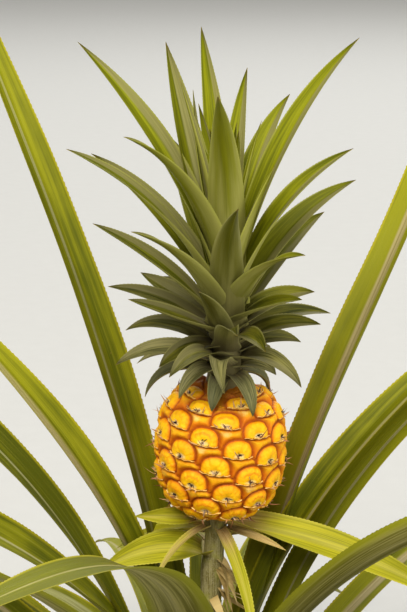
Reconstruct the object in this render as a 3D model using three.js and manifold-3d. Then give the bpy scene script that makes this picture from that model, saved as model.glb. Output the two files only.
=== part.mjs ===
// A fruiting pineapple plant, rooted in the ground. Millimetres, +Z up.
// The origin is the centre of the flat cut under the stem, and -Y is the plant's front.
// Leaves and fruitlets stand on one spiral: each is turned by the golden angle from the one before.
import * as THREE from "three";
import { mergeVertices } from "three/addons/utils/BufferGeometryUtils.js";
import Module from "manifold-3d";

const GOLDEN = 137.508; // degrees between one leaf or fruitlet and the next
const CLEAR = 0.3; // air left between solids that touch on the plant
const SPINE_STEPS = 48; // short steps that a leaf's midrib is walked in
const FINENESS = 0.08; // bumps smaller than this are smoothed away after a cut

// Stem: short and stout, with the leaf bases all round it.
const STEM_HEIGHT = 170;
const STEM_TOP_RADIUS = 23;
const STEM_RADIUS = 29;
const STEM_FOOT_RADIUS = 40;
const STEM_FLARE_HEIGHT = 26;

// Stalk that carries the fruit.
const STALK_HEIGHT = 170;
const STALK_SHIFT = 9; // how far the fruit's foot stands to the right of the stem
const STALK_RADIUS = 8.5;
const STALK_FOOT_RADIUS = 12;
const STALK_HEAD_RADIUS = 10;

// Fruit: a barrel of fruitlets.
const FRUIT_HEIGHT = 120;
const FRUIT_RADIUS = 55.5;
const FRUIT_SQUARENESS = 2.6; // 2 would be an ellipse
const FRUIT_LEAN = 3; // degrees to the right
const FRUIT_NOD = 5; // degrees towards the front
const FRUITLETS = 66;
const FRUITLET_TURN = 47; // direction of fruitlet 0, degrees from +X
const GROOVE_DEPTH = 3.6;
const END_CROWDING = 0.45; // fruitlets at both ends are smaller

// Crown: a short core with a spiral of leaves.
const CROWN_LEAVES = 58;
const CROWN_TIER = 8; // leaves in one tier
const CROWN_CORE_HEIGHT = 92;
const CROWN_CORE_RADIUS = 15;
const CROWN_CORE_TIP_RADIUS = 5;
const CROWN_THICKNESS = 2;
const CROWN_CLEAR = 0.5;
const CROWN_SPACING = 8; // steps of the midrib between two sections of a crown leaf
const CROWN_SHORT = 120; // crown leaves shorter than this have fewer sections
const SHORT_SPACING = 12;
const CROWN_TWIST = 34; // degrees that a leaf at the side has turned to face the front
const CROWN_BEND = 0.00034; // sideways bend to the left, per mm of height squared
const CROWN_TURN = -87 - 8 * GOLDEN; // leaf 8 hangs at the front

// Rosette: the long leaves on the stem.
const ROSETTE_LEAVES = 32;
const ROSETTE_TURN = 200;
const ROSETTE_LOW = 16;
const ROSETTE_HIGH = 158;
const LEAF_SPACING = 6; // steps of the midrib between two sections of a long leaf or bract
const ROSETTE_TWIST = 30; // degrees that a leaf at the side has turned to face the front

// Bracts: the small leaves on the stalk, right under the fruit.
const BRACTS = 10;
const BRACT_TURN = 350;
const BRACT_TOP = 331;
const BRACT_THICKNESS = 2;

const COLOURS = {
  stem: { color: 0x6f5f42, roughness: 0.9 },
  stalk: { color: 0x8a8a62, roughness: 0.75 },
  fruit: { color: 0xe79a16, roughness: 0.45 },
  crown: { color: 0x6c7434, roughness: 0.55 },
  leaf: { color: 0x7f8a1e, roughness: 0.45 },
  bract: { color: 0xa9a24a, roughness: 0.6 },
};
const material = (name) =>
  new THREE.MeshStandardMaterial({ ...COLOURS[name], metalness: 0 });

const rad = THREE.MathUtils.degToRad;
const mix = THREE.MathUtils.lerp;

// A number from 0 to 1 that belongs to a leaf and one of its traits.
function chance(index, trait) {
  const s = Math.sin(index * 12.9898 + trait * 78.233) * 43758.5453;
  return s - Math.floor(s);
}
const wobble = (index, trait, size) => (chance(index, trait) * 2 - 1) * size;

// Reads a curve that is given by a few [place, value] stops, joined smoothly.
function alongStops(stops, place) {
  if (place <= stops[0][0]) return stops[0][1];
  for (let i = 1; i < stops.length; i++) {
    const [x0, y0] = stops[i - 1];
    const [x1, y1] = stops[i];
    if (place <= x1) {
      const f = (place - x0) / (x1 - x0);
      return mix(y0, y1, f * f * (3 - 2 * f));
    }
  }
  return stops[stops.length - 1][1];
}

// A leaf is a plain record:
//   root      point on the axis side where the midrib starts
//   azimuth   degrees, direction of growth seen from above; sweep turns it further by the tip
//   lean      degrees from upright at the foot; droop is the same at the tip; bow shifts the bend outwards
//   length, width, thickness   of the blade in mm
//   taper     the higher, the longer the blade keeps its width
//   foldFoot, fold   degrees that each half of the blade stands up, at the foot and further out
//   twist     degrees that the blade of a leaf at the side has turned towards the front by its tip
//   back      places across the blade, from edge to edge, that shape its back

// The midrib as SPINE_STEPS + 1 stations, each with its place and directions.
function leafSpine(leaf) {
  const stations = [];
  const place = leaf.root.clone();
  for (let i = 0; i <= SPINE_STEPS; i++) {
    const t = i / SPINE_STEPS;
    const frame = leafFrame(leaf, t);
    stations.push({ t, place: place.clone(), ...frame });
    const half = leafFrame(leaf, t + 0.5 / SPINE_STEPS);
    place.addScaledVector(half.along, leaf.length / SPINE_STEPS);
  }
  return stations;
}

function leafFrame(leaf, t) {
  const tilt = rad(leaf.lean + (leaf.droop - leaf.lean) * Math.pow(t, leaf.bow));
  const turn = rad(leaf.azimuth + leaf.sweep * t * t);
  const outX = Math.cos(turn);
  const outY = Math.sin(turn);
  const along = new THREE.Vector3(
    Math.sin(tilt) * outX,
    Math.sin(tilt) * outY,
    Math.cos(tilt),
  );
  const up = new THREE.Vector3(
    -Math.cos(tilt) * outX,
    -Math.cos(tilt) * outY,
    Math.sin(tilt),
  );
  up.applyAxisAngle(along, rad(leaf.twist * outX * t * (2 - t)));
  const side = new THREE.Vector3().crossVectors(along, up);
  return { along, up, side };
}

const bladeWidth = (leaf, t) => leaf.width * (1 - Math.pow(t, leaf.taper));
const bladeFold = (leaf, t) =>
  rad(mix(leaf.foldFoot, leaf.fold, Math.min(1, t / 0.25)));

// Points of one cross-section: the upper face from edge to edge, then the rounded back.
const UPPER_FACE = [-1, 0, 1];
const ROUND_BACK = [0.58, 0, -0.58];
const KEELED_BACK = [0];
function leafSection(leaf, station, grow) {
  const half = bladeWidth(leaf, station.t) / 2 + grow;
  const fold = bladeFold(leaf, station.t);
  const back = grow > 0 ? [1, ...leaf.back, -1] : leaf.back;
  const at = (across, depth) => {
    const radius = half / fold + depth;
    const sideways = radius * Math.sin(fold * across);
    const raised = half / fold - radius * Math.cos(fold * across);
    return station.place
      .clone()
      .addScaledVector(station.side, sideways)
      .addScaledVector(station.up, raised);
  };
  return [
    ...UPPER_FACE.map((u) => at(u, -grow)),
    ...back.map((u) => at(u, leaf.thickness * Math.sqrt(1 - u * u) + grow)),
  ];
}

// A closed blade: sections every few steps along the midrib, and a point. It can be grown all round.
function bladeGeometry(leaf, every, grow = 0) {
  const spine = leafSpine(leaf);
  spine[0].place.addScaledVector(spine[0].along, -grow);
  spine[SPINE_STEPS].place.addScaledVector(spine[SPINE_STEPS].along, 6 * grow);
  const rings = [];
  for (let i = 0; i < SPINE_STEPS; i += every)
    rings.push(leafSection(leaf, spine[i], grow));
  return loft(rings, spine[SPINE_STEPS].place);
}

// Skins a row of equal rings. It ends in a point if one is given, or else in a flat cap.
function loft(rings, point) {
  const size = rings[0].length;
  const vertices = rings.flat();
  const faces = [];
  const mid = UPPER_FACE.length >> 1;
  const cap = (ring, turned) => {
    for (let i = 1; i < size - 1; i++) {
      const a = ring * size + ((mid + i) % size);
      const b = ring * size + ((mid + i + 1) % size);
      faces.push(turned ? [ring * size + mid, b, a] : [ring * size + mid, a, b]);
    }
  };
  for (let r = 0; r + 1 < rings.length; r++)
    for (let i = 0; i < size; i++) {
      const j = (i + 1) % size;
      const a = r * size + i;
      const b = r * size + j;
      // The back is split the same way as the upper face over it, so that the two never cross.
      if (i < UPPER_FACE.length - 1) faces.push([a, b, b + size], [a, b + size, a + size]);
      else faces.push([a, b, a + size], [b, b + size, a + size]);
    }
  cap(0, true);
  const last = rings.length - 1;
  if (point) {
    vertices.push(point);
    for (let i = 0; i < size; i++)
      faces.push([last * size + i, last * size + ((i + 1) % size), rings.length * size]);
  } else cap(last, false);
  return meshGeometry(vertices, faces);
}

function meshGeometry(points, faces) {
  const geometry = new THREE.BufferGeometry();
  geometry.setAttribute(
    "position",
    new THREE.Float32BufferAttribute(
      points.flatMap((p) => [p.x, p.y, p.z]),
      3,
    ),
  );
  geometry.setIndex(faces.flat());
  return geometry;
}

const wasm = await Module();
wasm.setup();

// A closed geometry as a solid that can be joined and cut, and back again.
function solid(geometry) {
  const bare = geometry.clone();
  bare.deleteAttribute("normal");
  bare.deleteAttribute("uv");
  const merged = mergeVertices(bare, 1e-4);
  return new wasm.Manifold(
    new wasm.Mesh({
      numProp: 3,
      vertProperties: merged.attributes.position.array,
      triVerts: new Uint32Array(merged.index.array),
    }),
  );
}

function geometryOf(body) {
  const mesh = body.getMesh();
  const geometry = new THREE.BufferGeometry();
  geometry.setAttribute(
    "position",
    new THREE.BufferAttribute(Float32Array.from(mesh.vertProperties), 3),
  );
  geometry.setIndex(Array.from(mesh.triVerts));
  return geometry;
}

// The largest piece of a solid: scraps that a cut leaves loose are dropped.
function largest(body) {
  return body.decompose().sort((a, b) => b.volume() - a.volume())[0];
}

const named = (name, geometry, finish) => {
  const mesh = new THREE.Mesh(geometry, material(finish));
  mesh.name = name;
  return mesh;
};

// Revolves a profile of [radius, height] pairs, from the axis at the foot to the axis at the top.
function turned(profile, sides) {
  const points = profile.map(([r, z]) => new THREE.Vector2(r, z));
  const geometry = new THREE.LatheGeometry(points, sides);
  geometry.rotateX(Math.PI / 2);
  return geometry;
}

function stem(grow = 0) {
  const profile = [
    [0, 0],
    [STEM_FOOT_RADIUS + grow, 0],
    [mix(STEM_FOOT_RADIUS, STEM_RADIUS, 0.7) + grow, STEM_FLARE_HEIGHT * 0.4],
    [STEM_RADIUS + grow, STEM_FLARE_HEIGHT],
    [STEM_RADIUS + grow, STEM_HEIGHT * 0.6],
    [STEM_TOP_RADIUS + grow, STEM_HEIGHT - CLEAR + grow],
    [0, STEM_HEIGHT - CLEAR + grow],
  ];
  return named("stem", turned(profile, 20), "stem");
}

// The stem's radius at a height above the flare.
const stemRadius = (z) =>
  mix(
    STEM_RADIUS,
    STEM_TOP_RADIUS,
    Math.max(0, (z - STEM_HEIGHT * 0.6) / (STEM_HEIGHT * 0.4)),
  );

// The fruit's foot, and the way its axis points.
const fruitFoot = new THREE.Vector3(STALK_SHIFT, 0, STEM_HEIGHT + STALK_HEIGHT);
const fruitTilt = new THREE.Euler(rad(FRUIT_NOD), rad(FRUIT_LEAN), 0);
const fruitUp = new THREE.Vector3(0, 0, 1).applyEuler(fruitTilt);

// The middle of the stalk at a share of its height: upright at its foot, along the fruit's axis at its head.
function stalkPoint(f) {
  const pull = STALK_HEIGHT / 3;
  const curve = new THREE.CubicBezierCurve3(
    new THREE.Vector3(0, 0, STEM_HEIGHT),
    new THREE.Vector3(0, 0, STEM_HEIGHT + pull),
    fruitFoot.clone().addScaledVector(fruitUp, -pull),
    fruitFoot,
  );
  return { place: curve.getPoint(f), along: curve.getTangent(f) };
}

const stalkRadius = (f) =>
  alongStops(
    [
      [0, STALK_FOOT_RADIUS],
      [0.3, STALK_RADIUS],
      [0.86, STALK_RADIUS],
      [1, STALK_HEAD_RADIUS],
    ],
    f,
  );

function stalk(grow = 0) {
  const rings = [];
  const sides = 12;
  const steps = 14;
  for (let i = 0; i <= steps; i++) {
    const f = mix(0, 1 - CLEAR / STALK_HEIGHT, i / steps);
    const { place, along } = stalkPoint(f);
    const across = new THREE.Vector3(0, 1, 0);
    const other = new THREE.Vector3().crossVectors(across, along);
    rings.push(
      Array.from({ length: sides }, (_, k) => {
        const turn = (-2 * Math.PI * k) / sides;
        return place
          .clone()
          .addScaledVector(across, (stalkRadius(f) + grow) * Math.cos(turn))
          .addScaledVector(other, (stalkRadius(f) + grow) * Math.sin(turn));
      }),
    );
  }
  return named("fruit_stalk", loft(rings), "stalk");
}

// The fruit's outline as a walk from foot to top, with the count of fruitlets passed at each step.
const OUTLINE_STEPS = 240;
function fruitOutline() {
  const power = 2 / FRUIT_SQUARENESS;
  const walk = [];
  let count = 0;
  for (let i = 0; i <= OUTLINE_STEPS; i++) {
    const turn = mix(-Math.PI / 2, Math.PI / 2, i / OUTLINE_STEPS);
    const s = Math.sin(turn);
    const radius = FRUIT_RADIUS * Math.pow(Math.max(0, Math.cos(turn)), power);
    const height = (FRUIT_HEIGHT / 2) * (1 + Math.sign(s) * Math.pow(Math.abs(s), power));
    const last = walk[walk.length - 1];
    if (last) {
      const stride = Math.hypot(radius - last.radius, height - last.height);
      const share = (radius + last.radius) / 2 / FRUIT_RADIUS;
      count += stride * Math.pow(share, 1 - END_CROWDING);
    }
    walk.push({ radius, height, count });
  }
  return walk;
}

// Where fruitlet number n of the spiral stands: its direction, and the outline's radius and height there.
const FRUIT_MARGIN = 7.5; // fruitlets' worth of bare skin at each end
const outline = fruitOutline();
const outlineTotal = outline[OUTLINE_STEPS].count;
function fruitletPlace(n) {
  const share = (n + FRUIT_MARGIN) / (FRUITLETS - 1 + 2 * FRUIT_MARGIN);
  const wanted = THREE.MathUtils.clamp(share, 0, 1) * outlineTotal;
  let i = 1;
  while (i < OUTLINE_STEPS && outline[i].count < wanted) i++;
  const a = outline[i - 1];
  const b = outline[i];
  const f = (wanted - a.count) / (b.count - a.count);
  return { radius: mix(a.radius, b.radius, f), height: mix(a.height, b.height, f) };
}

function fruitPoint(n, turnDegrees, depth) {
  const { radius, height } = fruitletPlace(n);
  const turn = rad(turnDegrees);
  const middle = FRUIT_HEIGHT / 2;
  const shrink = 1 - depth / FRUIT_RADIUS;
  return new THREE.Vector3(
    radius * shrink * Math.cos(turn),
    radius * shrink * Math.sin(turn),
    middle + (height - middle) * shrink,
  );
}

// Corners of a six-sided fruitlet, as [steps along the spiral, degrees] from its middle.
// Its neighbours are 5, 8 and 13 steps away, and three fruitlets meet at each corner.
const TURN_5 = GOLDEN * 5 - 720;
const TURN_8 = GOLDEN * 8 - 1080;
const TURN_13 = TURN_5 + TURN_8;
const CORNERS = [
  [6, (TURN_5 + TURN_13) / 3],
  [7, (TURN_8 + TURN_13) / 3],
  [1, (TURN_8 - TURN_5) / 3],
  [-6, -(TURN_5 + TURN_13) / 3],
  [-7, -(TURN_8 + TURN_13) / 3],
  [-1, -(TURN_8 - TURN_5) / 3],
];
function fruit() {
  const points = [];
  const seen = new Map();
  const faces = [];
  const vertex = (p) => {
    const key = [p.x, p.y, p.z].map((v) => Math.round(v * 50)).join();
    if (!seen.has(key)) {
      seen.set(key, points.length);
      points.push(p);
    }
    return seen.get(key);
  };
  const skin = GROOVE_DEPTH;
  for (let n = 0; n < FRUITLETS; n++) {
    const turn = FRUITLET_TURN + GOLDEN * n;
    const middle = vertex(fruitPoint(n, turn, 0));
    const outer = CORNERS.map(([dn, da]) => vertex(fruitPoint(n + dn, turn + da, skin)));
    const inner = CORNERS.map(([dn, da]) =>
      vertex(fruitPoint(n + dn * 0.62, turn + da * 0.62, skin * 0.16)),
    );
    for (let i = 0; i < CORNERS.length; i++) {
      const j = (i + 1) % CORNERS.length;
      faces.push([middle, inner[j], inner[i]]);
      faces.push([inner[i], inner[j], outer[j]]);
      faces.push([inner[i], outer[j], outer[i]]);
    }
  }
  closeEnds(points, faces);
  const body = named("fruit", meshGeometry(points, faces), "fruit");
  return body;
}

// Fills the zigzag rims at the foot and the top of the fruit from a point on its axis.
function closeEnds(points, faces) {
  const edges = new Map();
  for (const [a, b, c] of faces)
    for (const [from, to] of [
      [a, b],
      [b, c],
      [c, a],
    ])
      edges.set(from + "," + to, [from, to]);
  const open = [...edges.values()].filter(([a, b]) => !edges.has(b + "," + a));
  const foot = points.push(new THREE.Vector3(0, 0, 0)) - 1;
  const top = points.push(new THREE.Vector3(0, 0, FRUIT_HEIGHT)) - 1;
  for (const [a, b] of open)
    faces.push([b, a, points[a].z < FRUIT_HEIGHT / 2 ? foot : top]);
}

// Crown core radius at a height above the fruit.
const coreRadius = (z) =>
  mix(CROWN_CORE_RADIUS, CROWN_CORE_TIP_RADIUS, z / CROWN_CORE_HEIGHT);

// How the crown's leaves change from the lowest, at 0, to the innermost, at 1.
const CROWN_LEAN = [
  [0, 76],
  [0.26, 62],
  [0.52, 45],
  [0.75, 12],
  [1, 2],
];
const CROWN_DROOP = [
  [0, 184],
  [0.18, 134],
  [0.35, 92],
  [0.62, 70],
  [0.8, 42],
  [1, 20],
];
const CROWN_LENGTH = [
  [0, 42],
  [0.18, 82],
  [0.35, 94],
  [0.55, 155],
  [0.8, 226],
  [1, 130],
];
const CROWN_WIDTH = [
  [0, 18],
  [0.3, 22],
  [0.5, 27],
  [0.75, 29],
  [0.88, 23],
  [1, 13],
];

// Crown leaves that stand out from the rule, with the traits that are their own.
const CROWN_OWN = {
  0: { turn: 4 },
  1: { lean: 86, droop: 180, length: 48 },
  2: { lean: 80, droop: 169, length: 71, width: 20 },
  3: { turn: -8, lean: 78, droop: 171, length: 52 },
  5: { turn: 9, lean: 67, length: 54 },
  6: { turn: -14, lean: 58, droop: 140, length: 36 },
  7: { turn: 15, lean: 79, droop: 136, length: 80 },
  8: { turn: -11, lean: 56, droop: 116, length: 105, sweep: 22 },
  9: { length: 56 },
  10: { lean: 65, droop: 131, length: 86 },
  11: { turn: -3, lean: 59, droop: 143, length: 73 },
  14: { length: 60 },
  15: { droop: 127, length: 88 },
  16: { turn: -24, lean: 42, droop: 90, length: 104, sweep: 15 },
  18: { turn: 5, lean: 75, droop: 130, length: 60 },
  19: { turn: 3, lean: 48, droop: 97, length: 76 },
  21: { turn: -4, lean: 43, droop: 63, length: 115 },
  22: { turn: -3, lean: 69, droop: 108, length: 102 },
  23: { droop: 92, length: 99 },
  24: { turn: -15, lean: 58, droop: 115, length: 60 },
  26: { turn: -2, lean: 64, droop: 66, length: 116 },
  27: { turn: 2, lean: 39, droop: 92, length: 76 },
  28: { turn: -4, lean: 72, droop: 78, length: 92 },
  29: { turn: -12, lean: 29, droop: 53, length: 172, sweep: 18, width: 31 },
  30: { turn: -4, lean: 51, droop: 77, length: 153 },
  31: { turn: 1, lean: 39, droop: 63, length: 137 },
  32: { turn: -15, lean: 51, droop: 76, length: 84 },
  34: { turn: -5, lean: 40, droop: 70, length: 182 },
  35: { turn: 2, lean: 27, droop: 75, length: 164 },
  36: { lean: 22, droop: 64, length: 165 },
  37: { turn: -6, lean: 40, droop: 75, length: 158 },
  38: { length: 150 },
  39: { turn: -4, lean: 24, droop: 65, length: 201 },
  40: { lean: 15, droop: 60, length: 178 },
  41: { turn: -7, lean: 12, droop: 52, length: 146 },
  42: { turn: 5, lean: 6, droop: 47, length: 215, width: 34 },
  43: { turn: 1, lean: 3, droop: 56, length: 189 },
  44: { lean: 12, droop: 42, length: 233, width: 33, twist: 48 },
  45: { lean: 14, droop: 30, length: 130 },
  46: { turn: -3, lean: 12, droop: 46, length: 231 },
  47: { turn: -2, lean: 13, droop: 70, length: 204, width: 34 },
  48: { lean: 12, droop: 51, length: 247 },
  49: { lean: 15, droop: 5, length: 203, width: 36 },
  50: { length: 150 },
  51: { turn: -1, lean: 2, droop: 39, length: 185 },
  52: { lean: 6, droop: 12, length: 175 },
  53: { length: 145, width: 12 },
  57: { lean: 14, droop: -4, length: 155 },
};

// Gives a leaf the traits that are its own. A turn is added to the direction that its number gives.
function withOwn(leaf, own = {}) {
  const { turn = 0, ...traits } = own;
  return { ...leaf, azimuth: leaf.azimuth + turn, ...traits };
}

// Leaf number k of the crown: the lowest are short and hang down, the highest are long and upright.
function crownLeaf(k) {
  const age = k / (CROWN_LEAVES - 1);
  const height = mix(5, CROWN_CORE_HEIGHT - 3, age);
  const length = alongStops(CROWN_LENGTH, age) * (1 + wobble(k, 5, 0.05));
  const leaf = withOwn(
    {
      azimuth: CROWN_TURN + GOLDEN * k,
      sweep: wobble(k, 2, 5),
      lean: alongStops(CROWN_LEAN, age) + wobble(k, 3, 3),
      droop: alongStops(CROWN_DROOP, age) + wobble(k, 4, 7),
      bow: 1.2,
      length,
      width: alongStops(CROWN_WIDTH, age),
      taper: 2.8,
      foldFoot: 38,
      fold: 40,
      twist: CROWN_TWIST + wobble(k, 6, 8),
      back: KEELED_BACK,
    },
    CROWN_OWN[k],
  );
  return rooted(leaf, coreRadius(height) - 2.5, height, CROWN_THICKNESS);
}

// Stands a leaf at a distance from the axis, on the side that it grows to.
function rooted(leaf, distance, height, leastThickness) {
  const turn = rad(leaf.azimuth);
  return {
    ...leaf,
    thickness: Math.max(leastThickness, leaf.length / 100),
    root: new THREE.Vector3(Math.cos(turn) * distance, Math.sin(turn) * distance, height),
  };
}

function crownCore(low, high, grow) {
  const profile = [
    [0, low],
    [coreRadius(low) + grow, low],
    [coreRadius(high) + grow, high],
    [0, high],
  ];
  return solid(bendCrown(turned(profile, 12)));
}

// Bends a geometry of the crown to the left, the more the higher it is.
function bendCrown(geometry) {
  const place = geometry.attributes.position;
  for (let i = 0; i < place.count; i++)
    place.setX(i, place.getX(i) - CROWN_BEND * place.getZ(i) ** 2);
  return geometry;
}

// The crown in tiers, each a slice of the core with its leaves, cut clear of the tiers above.
function crown() {
  const tiers = [];
  const count = Math.ceil(CROWN_LEAVES / CROWN_TIER);
  let above = null;
  for (let tier = count - 1; tier >= 0; tier--) {
    const first = tier * CROWN_TIER;
    const last = Math.min(first + CROWN_TIER, CROWN_LEAVES);
    const leaves = [];
    for (let k = first; k < last; k++) leaves.push(crownLeaf(k));
    const low = tier === 0 ? CLEAR : leaves[0].root.z - 1.2;
    const high = tier === count - 1 ? CROWN_CORE_HEIGHT : crownLeaf(last).root.z - 1.2 - CLEAR;
    let body = crownCore(low, high, 0);
    let envelope = crownCore(low - CLEAR, high, CLEAR);
    for (const leaf of leaves) {
      const every = leaf.length < CROWN_SHORT ? SHORT_SPACING : CROWN_SPACING;
      body = body.add(solid(bendCrown(bladeGeometry(leaf, every))));
      envelope = envelope.add(solid(bendCrown(bladeGeometry(leaf, every, CROWN_CLEAR))));
    }
    if (above) body = body.subtract(above);
    body = largest(body.simplify(FINENESS));
    above = above ? above.add(envelope) : envelope;
    tiers.unshift(named("crown_tier_" + (tier + 1), geometryOf(body), "crown"));
  }
  return tiers;
}

// How the long leaves change from the lowest and oldest, at 0, to the innermost, at 1.
const ROSETTE_LEAN = [
  [0, 44],
  [0.5, 24],
  [1, 2],
];
const ROSETTE_DROOP = [
  [0, 110],
  [0.5, 98],
  [1, 60],
];
const ROSETTE_LENGTH = [
  [0, 540],
  [0.4, 760],
  [0.75, 740],
  [1, 600],
];

// Long leaves that stand out from the rule, with the traits that are their own.
const ROSETTE_OWN = {
  7: { lean: 46, droop: 118 },
  10: { lean: 46, droop: 118 },
  12: { lean: 44, droop: 112, length: 700 },
  15: { lean: 54, droop: 116, length: 560 },
  16: { lean: 23, droop: 87, length: 755 },
  17: { lean: 3, droop: 82, length: 700 },
  18: { lean: 40, droop: 112, length: 660 },
  19: { lean: 45, droop: 112, length: 620 },
  20: { lean: 56, droop: 122, length: 440 },
  21: { turn: 3, lean: 15, droop: 81, length: 798, width: 42, sweep: 1, bow: 1.16, twist: 77 },
  22: { lean: 40, droop: 104, length: 640 },
  23: { lean: 60, droop: 116, length: 430 },
  24: { turn: 5, lean: 28, droop: 90.5, length: 760, width: 54, sweep: -25, bow: 0.94, foldFoot: 15, fold: 15 },
  25: { turn: -8, lean: 0, droop: 57, length: 820, width: 46, sweep: 67, bow: 0.64, foldFoot: 40, fold: 48, twist: -12 },
  26: { turn: 6, lean: -6, droop: 55, length: 490, width: 42, sweep: -31, bow: 0.7, twist: 30 },
  27: { turn: 12, lean: 9, droop: 90, length: 585, width: 43, sweep: 13, bow: 0.7, twist: -62 },
  28: { lean: 36, droop: 104, length: 520 },
  29: { lean: 19, droop: 70, length: 565, width: 43, sweep: -11, bow: 0.6, twist: 78 },
  30: { turn: 5, lean: -5, droop: 66, length: 478, width: 38, sweep: 20, bow: 0.67, twist: 26 },
  31: { turn: 7, lean: -4, droop: 35.3, length: 800, width: 39, sweep: -19, bow: 0.46, foldFoot: 38, fold: 38, twist: 23 },
};

// Leaf number k of the rosette.
function rosetteLeaf(k) {
  const age = k / (ROSETTE_LEAVES - 1);
  const height = mix(ROSETTE_LOW, ROSETTE_HIGH, age);
  const leaf = withOwn(
    {
      azimuth: ROSETTE_TURN + GOLDEN * k,
      sweep: wobble(k, 12, 8),
      lean: alongStops(ROSETTE_LEAN, age) + wobble(k, 13, 3),
      droop: alongStops(ROSETTE_DROOP, age) + wobble(k, 14, 8),
      bow: 0.88,
      length: alongStops(ROSETTE_LENGTH, age) * (1 + wobble(k, 15, 0.06)),
      width: mix(36, 31, age),
      taper: 3,
      foldFoot: 34,
      fold: 34,
      twist: ROSETTE_TWIST + wobble(k, 16, 10),
      back: ROUND_BACK,
    },
    ROSETTE_OWN[k],
  );
  return rooted(leaf, stemRadius(height) + CLEAR + 0.5, height, 0);
}

function rosette(taken) {
  const leaves = [];
  for (let k = ROSETTE_LEAVES - 1; k >= 0; k--) {
    const leaf = rosetteLeaf(k);
    const geometry = clearedBlade(leaf, taken);
    leaves.unshift(named("leaf_" + String(k + 1).padStart(2, "0"), geometry, "leaf"));
  }
  return leaves;
}

// Bracts that stand out from the rule. A rise lifts the bract's foot along the stalk.
const BRACT_OWN = {
  0: { rise: 1, lean: 93, droop: 120, length: 205, width: 33, twist: 64 },
  1: { turn: -17, rise: 7, lean: 82, droop: 84, length: 62, width: 19, twist: 80 },
  2: { length: 70 },
  3: { turn: -9, rise: 3, lean: 98, droop: 158, length: 134, width: 13 },
  5: { length: 80 },
  6: { turn: -18, rise: 15, lean: 84, droop: 150, length: 82, width: 9 },
  8: { rise: 22, lean: 90, droop: 106, length: 60, width: 10, twist: 50 },
  9: { turn: 8, rise: 4, lean: 62, droop: 120, length: 96, width: 34, twist: 80 },
};

// Bract number k hangs under the fruit: 0 is the highest.
function bract(k) {
  const { rise = 0, ...own } = BRACT_OWN[k] ?? {};
  const height = BRACT_TOP - 1.2 * k - 0.25 * k * k + rise;
  const leaf = withOwn(
    {
      azimuth: BRACT_TURN - GOLDEN * k,
      sweep: wobble(k, 22, 8),
      lean: 86 + wobble(k, 23, 5),
      droop: 132 + wobble(k, 24, 12),
      bow: 0.9,
      length: 95 * (1 + wobble(k, 25, 0.1)),
      width: 20,
      taper: 2.4,
      foldFoot: 60,
      fold: 34,
      twist: wobble(k, 26, 20),
      back: ROUND_BACK,
    },
    own,
  );
  const share = (height - STEM_HEIGHT) / STALK_HEIGHT;
  const reach = stalkRadius(share) + CLEAR + 0.4;
  const stood = rooted(leaf, reach, 0, BRACT_THICKNESS);
  stood.root.add(stalkPoint(share).place);
  return stood;
}

function bracts(taken) {
  const all = [];
  for (let k = 0; k < BRACTS; k++)
    all.push(named("bract_" + String(k + 1).padStart(2, "0"), clearedBlade(bract(k), taken), "bract"));
  return all;
}

// A blade cut clear of the solids that are already there. It is then added to them.
function clearedBlade(leaf, taken) {
  const blade = solid(bladeGeometry(leaf, LEAF_SPACING));
  const cut = largest(blade.subtract(taken.body).simplify(FINENESS));
  taken.body = taken.body.add(solid(bladeGeometry(leaf, LEAF_SPACING, CLEAR)));
  return geometryOf(cut);
}

const plant = new THREE.Group();
plant.name = "pineapple_plant";
const taken = { body: solid(stem(CLEAR).geometry).add(solid(stalk(CLEAR).geometry)) };
plant.add(stem(), stalk(), ...bracts(taken), ...rosette(taken));

const fruitAxis = new THREE.Group();
fruitAxis.position.copy(fruitFoot);
fruitAxis.rotation.copy(fruitTilt);
fruitAxis.add(fruit());
const crownAxis = new THREE.Group();
crownAxis.position.z = FRUIT_HEIGHT;
crownAxis.add(...crown());
fruitAxis.add(crownAxis);
plant.add(fruitAxis);

export default plant;
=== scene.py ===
"""A fruiting pineapple plant: the looks of its leaves, stalk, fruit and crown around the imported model.

Lengths are in millimetres, turned into metres where a mesh is made. +Z is up and -Y is the plant's front.
Leaves and fruitlets stand on one spiral: each is turned by the golden angle from the one before.
"""

import math

import bpy
import numpy as np
from mathutils import Matrix, Vector


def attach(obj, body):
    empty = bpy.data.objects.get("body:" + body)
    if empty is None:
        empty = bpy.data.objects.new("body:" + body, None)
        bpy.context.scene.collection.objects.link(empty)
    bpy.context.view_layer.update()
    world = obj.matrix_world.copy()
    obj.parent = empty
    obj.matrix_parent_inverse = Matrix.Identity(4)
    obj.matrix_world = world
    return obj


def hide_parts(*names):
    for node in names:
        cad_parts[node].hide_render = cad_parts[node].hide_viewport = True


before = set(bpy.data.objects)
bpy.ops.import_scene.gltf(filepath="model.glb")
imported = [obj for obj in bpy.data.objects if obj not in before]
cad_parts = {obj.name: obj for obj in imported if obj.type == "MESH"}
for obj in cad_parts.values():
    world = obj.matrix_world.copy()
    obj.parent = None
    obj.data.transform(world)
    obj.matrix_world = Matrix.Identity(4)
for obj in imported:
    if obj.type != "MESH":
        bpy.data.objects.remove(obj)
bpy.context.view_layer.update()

MM = 0.001
GAP = 0.3  # between pieces that touch
GOLDEN = 137.508  # degrees between one leaf or fruitlet and the next

STEM_HEIGHT = 170
STEM_TOP_RADIUS = 23
STEM_RADIUS = 29
STEM_FOOT_RADIUS = 40
STEM_FLARE_HEIGHT = 26

STALK_HEIGHT = 170
STALK_SHIFT = 9
STALK_RADIUS = 8.5
STALK_FOOT_RADIUS = 12
STALK_HEAD_RADIUS = 10

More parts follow.
